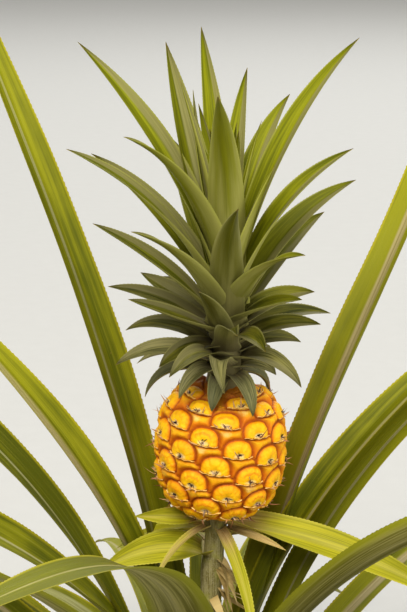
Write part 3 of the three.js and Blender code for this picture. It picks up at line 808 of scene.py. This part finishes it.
def add_lip(pieces, number):
    """The papery margin of a fruitlet's bract, as a thin strip that stands up along the lip line."""
    x = np.linspace(-DOME_HALF_WIDTH, DOME_HALF_WIDTH, 17)
    y = lip_line(x) + LIP_WAVE * np.sin(x * 0.9 + number)
    high = LIP_HEIGHT * np.maximum(0, 1 - (x / DOME_HALF_WIDTH) ** 2) ** 0.5 + 0.05
    foot = -1.2 * (x / 13) ** 2 - 0.8
    rows = [
        fruitlet_point(number, x, y - 0.35, foot + 0.7),
        fruitlet_point(number, x, y + 0.05, foot + 1.1 + high),
        fruitlet_point(number, x, y + 0.3, foot + 1.05 + high),
        fruitlet_point(number, x, y + 0.2, foot),
    ]
    points = np.stack(rows, axis=1).reshape(-1, 3)
    faces = [face[::-1] for face in closed_tube(len(x), 4)]
    along = np.repeat(np.abs(x) / DOME_HALF_WIDTH * 0.25, 4)
    pieces.add(points, faces, {"along": along}, {"kind": 0.0, "seed": chance(number, 51)})


def add_spike(pieces, number, salt, x, length):
    """A dry pointed shred that stands out from a fruitlet's lip."""
    right, rise, out = fruitlet_axes(number)
    start = fruitlet_point(number, x, lip_line(x), -0.5)[0]
    way = out + rise * (0.35 + wobble(number, salt, 0.6)) + right * (x * 0.06 + wobble(number, salt + 1, 0.7))
    bend = rise * (0.2 + wobble(number, salt + 2, 0.35)) + right * wobble(number, salt + 3, 0.35) + out * 0.05
    values = {"kind": 1.0, "seed": chance(number, salt + 4)}
    add_sliver(pieces, start, way, bend, length, SPIKE_WIDTH, SPIKE_THICKNESS, values)


# Spikes on a lip: first trait number, place across the lip, length, and how much both of them vary.
SPIKES = [(52, 0, 8.5, 1.0, 2.5), (80, -6.5, 5.5, 2.5, 2.0), (90, 6.5, 5.5, 2.5, 2.0)]
SPIKE_WIDTH = 1.7
SPIKE_THICKNESS = 0.3

# Heights above the ground between which dry scraps hang on the stalk.
SCRAP_LOW = 245
SCRAP_HIGH = 300


def make_dry_scraps(material, scraps=15):
    """Torn remains of dried bracts that hang on the stalk's right side."""
    pieces = Pieces()
    for k in range(scraps):
        share = (mix(SCRAP_LOW, SCRAP_HIGH, chance(k, 71)) - STEM_HEIGHT) / STALK_HEIGHT
        turn = math.radians(-25 + wobble(k, 72, 55))
        out = np.array([math.cos(turn), math.sin(turn), 0])
        start = np.array(stalk_point(share)) + out * (stalk_radius(share) - 0.4)
        way = out * (1.0 + wobble(k, 73, 0.5)) + np.array([0.2, 0, -0.5 + wobble(k, 74, 0.9)])
        bend = np.array([wobble(k, 75, 0.4), wobble(k, 76, 0.3), -0.3 + wobble(k, 77, 0.4)])
        values = {"across": wobble(k, 78, 0.5), "age": 1.0, "seed": chance(k, 79)}
        add_sliver(pieces, start, way, bend, 20 + 16 * chance(k, 80), 5 + 6 * chance(k, 81), 0.6, values, 9)
    finish_piece(pieces.make("dry_scraps", material), "bract")


def make_fruitlet_bracts(material):
    pieces = Pieces()
    for number in range(FRUITLETS):
        add_lip(pieces, number)
        for salt, x, length, shift, change in SPIKES:
            x += wobble(number, salt + 5, shift)
            add_spike(pieces, number, salt, x, length + wobble(number, salt + 6, change))
    finish_piece(pieces.make("fruitlet_bracts", material), "bract")


SHRED_WIDTH = 1.4
SHRED_THICKNESS = 0.4
DARK_SHREDS = 0.68  # the share of shreds that are purple-black


def make_dry_flowers(material, shreds=7):
    pieces = Pieces()
    for number in range(FRUITLETS):
        right, rise, out = fruitlet_axes(number)
        for k in range(shreds):
            key = number * shreds + k
            start = fruitlet_point(number, wobble(key, 61, 2.2), -1.4 + wobble(key, 62, 1.2), -1.6)[0]
            way = out * (0.6 + chance(key, 63)) + right * wobble(key, 64, 1.1) + rise * wobble(key, 65, 0.9)
            bend = right * wobble(key, 66, 0.5) + rise * wobble(key, 67, 0.5) + out * 0.05
            length = 2.8 + 2.8 * chance(key, 68)
            values = {"kind": float(chance(key, 69) < DARK_SHREDS), "seed": chance(key, 70)}
            add_sliver(pieces, start, way, bend, length, SHRED_WIDTH, SHRED_THICKNESS, values, 4)
    finish_piece(pieces.make("dry_flowers", material), "bract")


# The stem and the stalk


STEM_RINGS = 24
SCAR_OUT = 1.2
SCAR_IN = -0.4

STALK_STEPS = 60
STALK_RINGS = 6
RING_HEIGHT = 0.5
SWELLING = 1.6
SWELLING_PLACE = 0.68  # as a share of the way up


def make_stem(material):
    """A stout stem from rings that are pushed up and resized, with the scars of old leaves."""
    bpy.ops.object.select_all(action="DESELECT")
    bpy.ops.mesh.primitive_circle_add(vertices=64, radius=STEM_FOOT_RADIUS * MM, fill_type="NGON")
    piece = bpy.context.object
    piece.name = piece.data.name = "stem_bark"
    flare = mix(STEM_FOOT_RADIUS, STEM_RADIUS, 0.7)
    profile = [(STEM_FOOT_RADIUS, 0), (flare, STEM_FLARE_HEIGHT * 0.4), (STEM_RADIUS, STEM_FLARE_HEIGHT)]
    for step in range(1, STEM_RINGS + 1):
        z = mix(STEM_FLARE_HEIGHT, STEM_HEIGHT - GAP, step / STEM_RINGS)
        scar = SCAR_OUT if step % 2 else SCAR_IN
        profile.append((stem_radius(z) + (scar if step < STEM_RINGS else 0), z))
    bpy.ops.object.mode_set(mode="EDIT")
    bpy.ops.mesh.select_all(action="SELECT")
    for (r0, z0), (r1, z1) in zip(profile, profile[1:]):
        bpy.ops.mesh.extrude_region_move(TRANSFORM_OT_translate={"value": (0, 0, (z1 - z0) * MM)})
        bpy.ops.transform.resize(value=(r1 / r0, r1 / r0, 1))
    bpy.ops.mesh.select_all(action="SELECT")
    bpy.ops.mesh.normals_make_consistent(inside=False)
    bpy.ops.object.mode_set(mode="OBJECT")
    piece.data.materials.append(material)
    select_only(piece)
    bpy.ops.object.shade_smooth_by_angle(angle=math.radians(50))
    finish_piece(piece, "stem", "stem")


def make_stalk(material):
    """A thick line along the stalk's curve, made a mesh, with rings where bracts stood."""
    bpy.ops.object.select_all(action="DESELECT")
    bpy.ops.curve.primitive_bezier_curve_add()
    line = bpy.context.object
    line.name = line.data.name = "peduncle"
    data = line.data
    data.dimensions = "3D"
    data.bevel_depth = MM
    data.bevel_resolution = 10
    data.use_fill_caps = True
    data.splines.clear()
    spline = data.splines.new("POLY")
    spline.points.add(STALK_STEPS)
    for i in range(STALK_STEPS + 1):
        f = i / STALK_STEPS * (1 - GAP / STALK_HEIGHT)
        spline.points[i].co = (*(stalk_point(f) * MM), 1)
        ring = RING_HEIGHT * math.exp(-(((f * STALK_RINGS) % 1 - 0.5) ** 2) / 0.01)
        swell = SWELLING * math.exp(-(((f - SWELLING_PLACE) / 0.07) ** 2))
        spline.points[i].radius = stalk_radius(f) + ring + swell
    bpy.ops.object.convert(target="MESH")
    piece = bpy.context.object
    bpy.ops.object.transform_apply(location=True, rotation=True, scale=True)
    piece.data.materials.clear()
    piece.data.materials.append(material)
    bpy.ops.object.shade_smooth_by_angle(angle=math.radians(50))
    finish_piece(piece, "stalk", "fruit_stalk")


# Materials


class Value:
    """A socket that can be added, multiplied and so on, each time with a Math node."""

    def __init__(self, paint, socket):
        self.paint = paint
        self.socket = socket

    def math(self, operation, *others):
        node = self.paint.node("ShaderNodeMath", {"operation": operation}, {})
        for place, value in zip(node.inputs, (self, *others)):
            self.paint.feed(place, value)
        return Value(self.paint, node.outputs[0])

    def __add__(self, other):
        return self.math("ADD", other)

    def __mul__(self, other):
        return self.math("MULTIPLY", other)

    def __sub__(self, other):
        return self.math("SUBTRACT", other)

    def __rsub__(self, other):
        return (self * -1).math("ADD", other)

    def __truediv__(self, other):
        return self.math("DIVIDE", other)

    def __abs__(self):
        return self.math("ABSOLUTE")

    __radd__ = __add__
    __rmul__ = __mul__

    def step(self, low, high):
        """0 below low and 1 above high, with a soft step between."""
        sockets = {"Value": self, "From Min": low, "From Max": high}
        node = self.paint.node("ShaderNodeMapRange", {"interpolation_type": "SMOOTHSTEP"}, sockets)
        return Value(self.paint, node.outputs["Result"])

    def bell(self, centre, spread):
        """1 at centre, falling to 0 at spread on both sides."""
        return 1 - abs(self - centre).step(0, spread)


class Paint:
    """A material around one Principled shader. Constants go straight on its sockets."""

    def __init__(self, name, **constants):
        self.material = bpy.data.materials.new(name)
        self.material.use_nodes = True
        self.tree = self.material.node_tree
        self.shader = self.tree.nodes["Principled BSDF"]
        for socket, value in constants.items():
            self.shader.inputs[socket.replace("_", " ")].default_value = value

    def feed(self, place, value):
        if isinstance(value, Value):
            self.tree.links.new(value.socket, place)
        elif isinstance(value, tuple) and len(value) == 3 and place.type == "RGBA":
            place.default_value = (*value, 1)
        else:
            place.default_value = value

    def node(self, kind, settings, sockets):
        node = self.tree.nodes.new(kind)
        for name, value in settings.items():
            setattr(node, name, value)
        for name, value in sockets.items():
            self.feed(node.inputs[name], value)
        return node

    def attributes(self, names):
        """The mesh's values of these names, which are parted by spaces."""
        nodes = [self.node("ShaderNodeAttribute", {"attribute_name": name}, {}) for name in names.split()]
        return [Value(self, node.outputs["Fac"]) for node in nodes]

    def position(self):
        return Value(self, self.node("ShaderNodeTexCoord", {}, {}).outputs["Object"])

    def vector(self, x, y, z):
        node = self.node("ShaderNodeCombineXYZ", {}, {"X": x, "Y": y, "Z": z})
        return Value(self, node.outputs[0])

    def noise(self, vector, scale, detail=2.0, roughness=0.5):
        sockets = {"Vector": vector, "Scale": scale, "Detail": detail, "Roughness": roughness}
        return Value(self, self.node("ShaderNodeTexNoise", {}, sockets).outputs["Fac"])

    def fibres(self, round_scale, up_scale, detail=3.0, roughness=0.5):
        """Noise with one scale round the stem or the stalk and another one up it."""
        parts = self.node("ShaderNodeSeparateXYZ", {}, {"Vector": self.position()})
        x, y, z = (Value(self, output) for output in parts.outputs)
        return self.noise(self.vector(x * round_scale, y * round_scale, z * up_scale), 1.0, detail, roughness)

    def mix(self, share, first, second):
        """The first colour where share is 0 and the second where it is 1."""
        node = self.node("ShaderNodeMix", {"data_type": "RGBA"}, {})
        for place, value in ((node.inputs[0], share), (node.inputs[6], first), (node.inputs[7], second)):
            self.feed(place, value)
        return Value(self, node.outputs[2])

    def layers(self, colour, *layers):
        """Lays colours over the first one. Each layer is its share, from 0 to 1, and its colour."""
        for share, over in layers:
            colour = self.mix(share, colour, over)
        return colour

    def relief(self, height, distance):
        bump = self.node("ShaderNodeBump", {}, {"Height": height, "Distance": distance * MM})
        self.tree.links.new(bump.outputs["Normal"], self.shader.inputs["Normal"])

    def finish(self, colour, roughness):
        self.feed(self.shader.inputs["Base Color"], colour)
        self.feed(self.shader.inputs["Roughness"], roughness)
        return self.material


def streaks(paint, across, along, seed, fine, long):
    """Lines that run along a leaf, finer across it than along it."""
    place = paint.vector(across * fine, along * long, seed * 40)
    return paint.noise(place, 1.0, 3.0, 0.6)


def rosette_finish():
    """Long leaf: yellow-green flanks, a bright margin, a pale line above, silvery lines below, and painted
    shade over its lower part.
    """
    paint = Paint("rosette_leaf", Specular_IOR_Level=0.1)
    across, along, upper, age, seed = paint.attributes("across along upper age seed")
    line, line_width, tan, tone = paint.attributes("line line_width tan tone")
    fine = streaks(paint, across, along, seed, 16.0, 5.0)
    broad = streaks(paint, across, along, seed, 3.0, 4.0)
    side = abs(across)
    blotch = paint.noise(paint.position(), 18.0, 3.0)
    light = broad * 0.6 + blotch * 0.3 + tone * 0.25 - 0.07
    flank = paint.mix(light.step(0.33, 0.66), (0.075, 0.088, 0.002), (0.25, 0.25, 0.005))
    flank = paint.mix(fine.step(0.5, 0.75) * 0.35, flank, (0.3, 0.29, 0.03))
    reach = abs(across - line) + (fine - 0.5) * 0.12 + (broad - 0.5) * 0.12
    channel = 1 - (reach / line_width).step(0.55, 1.0)
    deep = paint.mix(tan, (0.19, 0.18, 0.05), (0.28, 0.2, 0.08))
    pale = paint.mix(tan, (0.36, 0.37, 0.16), (0.5, 0.38, 0.2))
    pale = paint.mix(fine.step(0.25, 0.6), deep, pale)
    margin = side.step(0.86, 0.97)
    top = paint.layers(flank, (channel * 0.9, pale), (margin * 0.75, (0.42, 0.36, 0.012)))
    silver = paint.mix(fine.step(0.35, 0.65), (0.12, 0.11, 0.014), (0.31, 0.28, 0.085))
    keel = 1 - side.step(0.0, 0.2)
    under = paint.layers(
        silver,
        (side.step(0.5, 0.9) * 0.85, (0.25, 0.25, 0.006)),
        (keel * 0.4, (0.4, 0.36, 0.16)),
    )
    spot = paint.noise(paint.position(), 160.0, 3.0)
    worn = along.step(0.86, 1.0) * (1 - age.step(0.1, 0.9)) + spot.step(0.7, 0.82) * 0.5
    colour = paint.layers(
        paint.mix(upper, under, top),
        # painted shade: the lower part of each leaf, which lies inside the rosette, is darkened
        ((1 - along.step(0.15, 0.6)) * 0.42, (0.05, 0.048, 0.001)),
        (along.step(0.45, 0.9) * 0.25, (0.44, 0.43, 0.008)),
        ((1 - along.step(0.0, 0.12)) * 0.7, (0.42, 0.4, 0.16)),
        (worn * 0.8, (0.34, 0.17, 0.04)),
    )
    paint.relief((fine + broad) * 0.2 + side * (upper * 2 - 1), 2.0)
    return paint.finish(colour, 0.5 - upper * 0.08 + fine * 0.12)


def crown_finish():
    """Crown leaf: green with a silver band above, pale sides below, and brighter high in the crown, partly as
    the younger leaves' own lighter green and partly as painted light.
    """
    paint = Paint("crown_leaf", Specular_IOR_Level=0.14)
    across, along, upper, age, seed = paint.attributes("across along upper age seed")
    fine = streaks(paint, across, along, seed, 13.0, 2.5)
    broad = streaks(paint, across, along, seed, 2.5, 2.0)
    side = abs(across)
    # leaves high in the crown are lighter: partly the younger leaves' own lighter green, partly painted light
    # from above
    young_and_lit = age.step(0.35, 0.8)
    dark = paint.mix(young_and_lit, (0.036, 0.04, 0.003), (0.11, 0.125, 0.002))
    light = paint.mix(young_and_lit, (0.15, 0.14, 0.012), (0.29, 0.3, 0.005))
    green = paint.mix((fine * 0.35 + broad * 0.65).step(0.34, 0.66), dark, light)
    bloom = paint.mix(young_and_lit, (0.2, 0.182, 0.075), (0.34, 0.315, 0.12))
    bloom = paint.mix(fine.step(0.4, 0.6) * 0.4, bloom, (0.14, 0.125, 0.035))
    pale = paint.mix(young_and_lit, (0.25, 0.235, 0.065), (0.4, 0.385, 0.09))
    pale = paint.mix(broad.step(0.35, 0.7) * 0.4, pale, green)
    shaded = paint.mix(0.6, green, paint.mix(young_and_lit, (0.055, 0.052, 0.002), (0.15, 0.15, 0.003)))
    fade = (along + (broad - 0.5) * 0.6 - side * 0.5).step(0.1, 0.65)
    edge = across + (seed - 0.5) * 0.6 + (broad - 0.5) * 0.35 + along * 0.2 - 0.3
    top = paint.mix(edge.step(-0.08, 0.1) * 0.8, green, bloom)
    lined = paint.mix(fine.step(0.38, 0.6), (0.13, 0.125, 0.045), (0.46, 0.42, 0.17))
    foot = (1 - along.step(0.05, 0.45)) * (1 - young_and_lit)
    margin = paint.mix(young_and_lit, (0.32, 0.3, 0.1), (0.42, 0.42, 0.08))
    colour = paint.layers(
        paint.mix(upper, paint.mix(fade, pale, shaded), top),
        ((1 - age.step(0.05, 0.32)) * 0.75, lined),
        ((1 - age.step(0.03, 0.1)) * 0.65, (0.075, 0.08, 0.035)),
        (foot * 0.55, (0.12, 0.085, 0.055)),
        (side.step(0.84, 0.97) * 0.6, margin),
        (along.step(0.95, 1.0) * 0.6, (0.42, 0.29, 0.05)),
    )
    paint.relief((fine + broad) * 0.12 + side * (upper * 2 - 1), 2.2)
    return paint.finish(colour, 0.45 + fine * 0.15)


def bract_finish():
    """Small leaf on the stalk: green with pale lines, straw and brown where it has dried."""
    paint = Paint("stalk_bract", Specular_IOR_Level=0.2)
    across, along, dryness, seed = paint.attributes("across along age seed")
    fine = streaks(paint, across, along, seed, 14.0, 2.0)
    broad = streaks(paint, across, along, seed, 2.5, 2.0)
    side = abs(across)
    green = paint.mix(fine.step(0.35, 0.65), (0.24, 0.24, 0.004), (0.44, 0.4, 0.012))
    channel = 1 - (side + (fine - 0.5) * 0.3).step(0.1, 0.35)
    straw = paint.mix(fine.step(0.3, 0.7), (0.3, 0.19, 0.05), (0.6, 0.45, 0.18))
    dry = (dryness * 1.3 + (1 - along.step(0.0, 0.35)) * 0.6 + (broad - 0.5) * 0.8 - 0.3).step(0.2, 0.7)
    colour = paint.layers(
        green,
        (channel * 0.25, (0.55, 0.48, 0.12)),
        (dry, straw),
        (side.step(0.86, 0.98) * 0.6, (0.55, 0.5, 0.06)),
    )
    paint.relief(fine + broad, 0.3)
    return paint.finish(colour, 0.5 + fine * 0.2)


def rind_finish():
    """Ripe rind: yellow domes, wide grooves with painted orange-brown shade, painted shade at the foot and
    under the crown, and a pale dry patch round each eye.
    """
    paint = Paint("ripe_rind", Specular_IOR_Level=0.2)
    dome, rim, split, tint, arch = paint.attributes("dome rim split tint arch")
    fall, height, eye, patch = paint.attributes("fall height eye patch")
    place = paint.position()
    mottle = paint.noise(place, 260.0, 4.0, 0.65)
    grain = paint.noise(place, 1400.0, 3.0, 0.6)
    drift = mottle - 0.5
    bent = arch + drift * 0.5
    yellow = paint.mix(bent.step(0.6, 1.05), (1.0, 0.56, 0.003), (0.9, 0.27, 0.001))
    low = 1 - height.step(0.25, 0.6)
    above = 1 - (fall + LIP_DROP).step(-5.0, 0.0)
    ring = bent.bell(0.55, 0.17) * above * (tint * 0.7 + low * 0.5).step(0.2, 0.8)
    yellow = paint.mix(ring * 0.75, yellow, (0.74, 0.19, 0.001))
    body = paint.mix((fall / 12 + drift * 0.6).step(0.2, 1.0), (1.0, 0.56, 0.004), (0.88, 0.25, 0.001))
    patch = patch + drift * 2.0
    body = paint.mix((1 - patch.step(0.1, 1.1)) * tint.step(0.6, 0.95) * 0.7, body, (0.95, 0.74, 0.25))
    cloud = paint.noise(place, 55.0, 3.0, 0.6)
    ripe = (cloud - height * 0.12).step(0.36, 0.62)
    # painted shade: how near a place is to the groove round its dome or between two bracts
    groove_shade = paint.mix(dome, rim / 0.5, (1.0 - arch) / 0.16)
    groove_shade = groove_shade.math("MINIMUM", split / 0.4) + drift * 0.3
    lip_shade = (1 - (fall + drift * 2).step(0.0, 1.7)) * (1 - dome)
    eye = eye + drift * 1.2
    colour = paint.layers(
        paint.mix(dome, body, yellow),
        (mottle.step(0.48, 0.68) * 0.35, (0.9, 0.28, 0.001)),
        (ripe * 0.28, (0.8, 0.22, 0.001)),
        # painted shade in the grooves: wide and orange-brown, then narrow and dark
        ((1 - groove_shade.step(0.0, 1.0)) * 0.9, (0.56, 0.12, 0.001)),
        ((1 - groove_shade.step(0.0, 0.45)) * 0.85, (0.36, 0.06, 0.001)),
        (lip_shade * 0.75, (0.25, 0.06, 0.003)),
        ((1 - eye.step(0.35, 1.0)) * 0.75, (0.98, 0.82, 0.34)),
        ((1 - eye.step(0.25, 0.6)) * 0.45, (0.7, 0.5, 0.38)),
        ((1 - eye.step(0.08, 0.36)) * 0.85, (0.12, 0.05, 0.03)),
        # painted shade: darker towards the fruit's foot
        ((1 - height.step(0.04, 0.24)) * 0.55, (0.42, 0.13, 0.008)),
        # painted shade: darker towards the fruit's top, under the crown
        (height.step(0.78, 0.95) * 0.75, (0.36, 0.09, 0.003)),
        (grain.step(0.55, 0.8) * 0.2, (0.75, 0.3, 0.002)),
    )
    paint.relief(mottle + grain * 0.4, 0.9)
    return paint.finish(colour, 0.36 + mottle * 0.2 + (1 - dome) * 0.1)


def papery_finish():
    """Dry margins and tips of the bracts on the fruit: straw, and pinkish brown at the point."""
    paint = Paint("papery_bract", Specular_IOR_Level=0.3)
    along, kind, seed = paint.attributes("along kind seed")
    grain = paint.noise(paint.position(), 900.0, 3.0)
    lip = paint.mix(grain.step(0.35, 0.65), (0.8, 0.42, 0.05), (0.95, 0.7, 0.24))
    tip = paint.mix(seed.step(0.2, 0.8), (0.32, 0.12, 0.05), (0.55, 0.31, 0.14))
    tip = paint.mix(along.step(0.6, 1.0) * 0.7, tip, (0.32, 0.12, 0.06))
    paint.relief(grain, 0.2)
    return paint.finish(paint.mix(kind, lip, tip), 0.55 + grain * 0.2)


def dry_flower_finish():
    """Shreds of dried flowers: purple-black, with a few pale ones."""
    paint = Paint("dry_flower", Specular_IOR_Level=0.3)
    kind, seed = paint.attributes("kind seed")
    grain = paint.noise(paint.position(), 1200.0, 3.0)
    pale = paint.mix(grain.step(0.3, 0.7), (0.4, 0.24, 0.15), (0.72, 0.58, 0.42))
    dark = paint.mix(seed.step(0.3, 0.9), (0.022, 0.012, 0.012), (0.14, 0.055, 0.04))
    paint.relief(grain, 0.2)
    return paint.finish(paint.mix(kind, pale, dark), 0.65 + grain * 0.2)


def stalk_finish():
    """Mealy grey-green stalk with fine lines along it."""
    paint = Paint("mealy_stalk", Specular_IOR_Level=0.3)
    place = paint.position()
    lines = paint.fibres(900, 30)
    meal = paint.noise(place, 700.0, 4.0, 0.7)
    patch = paint.noise(place, 60.0, 3.0)
    colour = paint.layers(
        paint.mix(lines.step(0.35, 0.65), (0.16, 0.13, 0.03), (0.31, 0.27, 0.11)),
        (meal.step(0.45, 0.7) * 0.5, (0.42, 0.38, 0.22)),
        (patch.step(0.5, 0.75) * 0.7, (0.3, 0.3, 0.03)),
    )
    paint.relief(lines + meal, 0.5)
    return paint.finish(colour, 0.65 + meal * 0.15)


def bark_finish():
    """Fibrous brown stem with the scars of old leaves."""
    paint = Paint("stem_fibre", Specular_IOR_Level=0.2)
    fibre = paint.fibres(500, 60, 4.0, 0.6)
    band = paint.fibres(20, 260)
    colour = paint.mix(fibre.step(0.3, 0.7), (0.07, 0.04, 0.018), (0.27, 0.18, 0.09))
    colour = paint.mix(band.step(0.5, 0.7) * 0.6, colour, (0.14, 0.11, 0.04))
    paint.relief(fibre + band, 1.2)
    return paint.finish(colour, 0.8 + fibre * 0.1)


def floor_finish():
    paint = Paint("pale_floor", Specular_IOR_Level=0.2)
    grain = paint.noise(paint.position(), 30.0, 3.0)
    return paint.finish(paint.mix(grain, (0.54, 0.54, 0.52), (0.57, 0.57, 0.55)), 0.8)


# Stage, light and camera

CAMERA_TARGET = Vector((-2, 0, 520)) * MM
CAMERA_DISTANCE = 1600 * MM
CAMERA_ELEVATION = math.radians(13)
VIEW_ANGLE = math.radians(18)  # of the photo's height
SENSOR = 36
FLOOR_RADIUS = 40  # metres, as are the places and sizes of the lamps below


def make_floor():
    bpy.ops.object.select_all(action="DESELECT")
    bpy.ops.mesh.primitive_circle_add(vertices=96, radius=FLOOR_RADIUS, fill_type="NGON")
    floor = bpy.context.object
    floor.name = floor.data.name = "floor"
    floor.data.materials.append(floor_finish())


def make_light(name, place, size, power, colour=(1, 1, 1)):
    light = bpy.data.lights.new(name, "AREA")
    light.shape = "DISK"
    light.size = size
    light.energy = power
    light.color = colour
    lamp = bpy.data.objects.new(name, light)
    lamp.location = place
    lamp.rotation_euler = (CAMERA_TARGET - Vector(place)).to_track_quat("-Z", "Y").to_euler()
    bpy.context.scene.collection.objects.link(lamp)


def make_camera():
    data = bpy.data.cameras.new("photo_camera")
    data.sensor_width = SENSOR
    data.lens = SENSOR / 2 / math.tan(VIEW_ANGLE / 2)
    camera = bpy.data.objects.new("photo_camera", data)
    back = Vector((0, -math.cos(CAMERA_ELEVATION), math.sin(CAMERA_ELEVATION)))
    camera.location = CAMERA_TARGET + back * CAMERA_DISTANCE
    camera.rotation_euler = back.to_track_quat("Z", "Y").to_euler()
    bpy.context.scene.collection.objects.link(camera)
    bpy.context.scene.camera = camera


def make_sky():
    bpy.context.scene.view_settings.view_transform = "Standard"
    world = bpy.data.worlds.new("soft_studio")
    world.use_nodes = True
    background = world.node_tree.nodes["Background"]
    background.inputs["Color"].default_value = (1.0, 0.98, 0.94, 1)
    background.inputs["Strength"].default_value = 0.5
    bpy.context.scene.world = world


make_camera()
make_sky()
make_floor()
make_light("key_light", (-1.4, -6.6, 7.4), 6.0, 980, (1.0, 0.96, 0.88))
make_light("side_light", (6.3, -4.2, 3.6), 5.0, 220)
make_light("back_light", (1.4, 7.0, 6.4), 5.6, 370)

make_stem(bark_finish())
make_stalk(stalk_finish())
make_rosette(rosette_finish())
bract_paint = bract_finish()
make_bracts(bract_paint)
make_dry_scraps(bract_paint)
make_crown(crown_finish())
make_fruit(rind_finish())
make_fruitlet_bracts(papery_finish())
make_dry_flowers(dry_flower_finish())
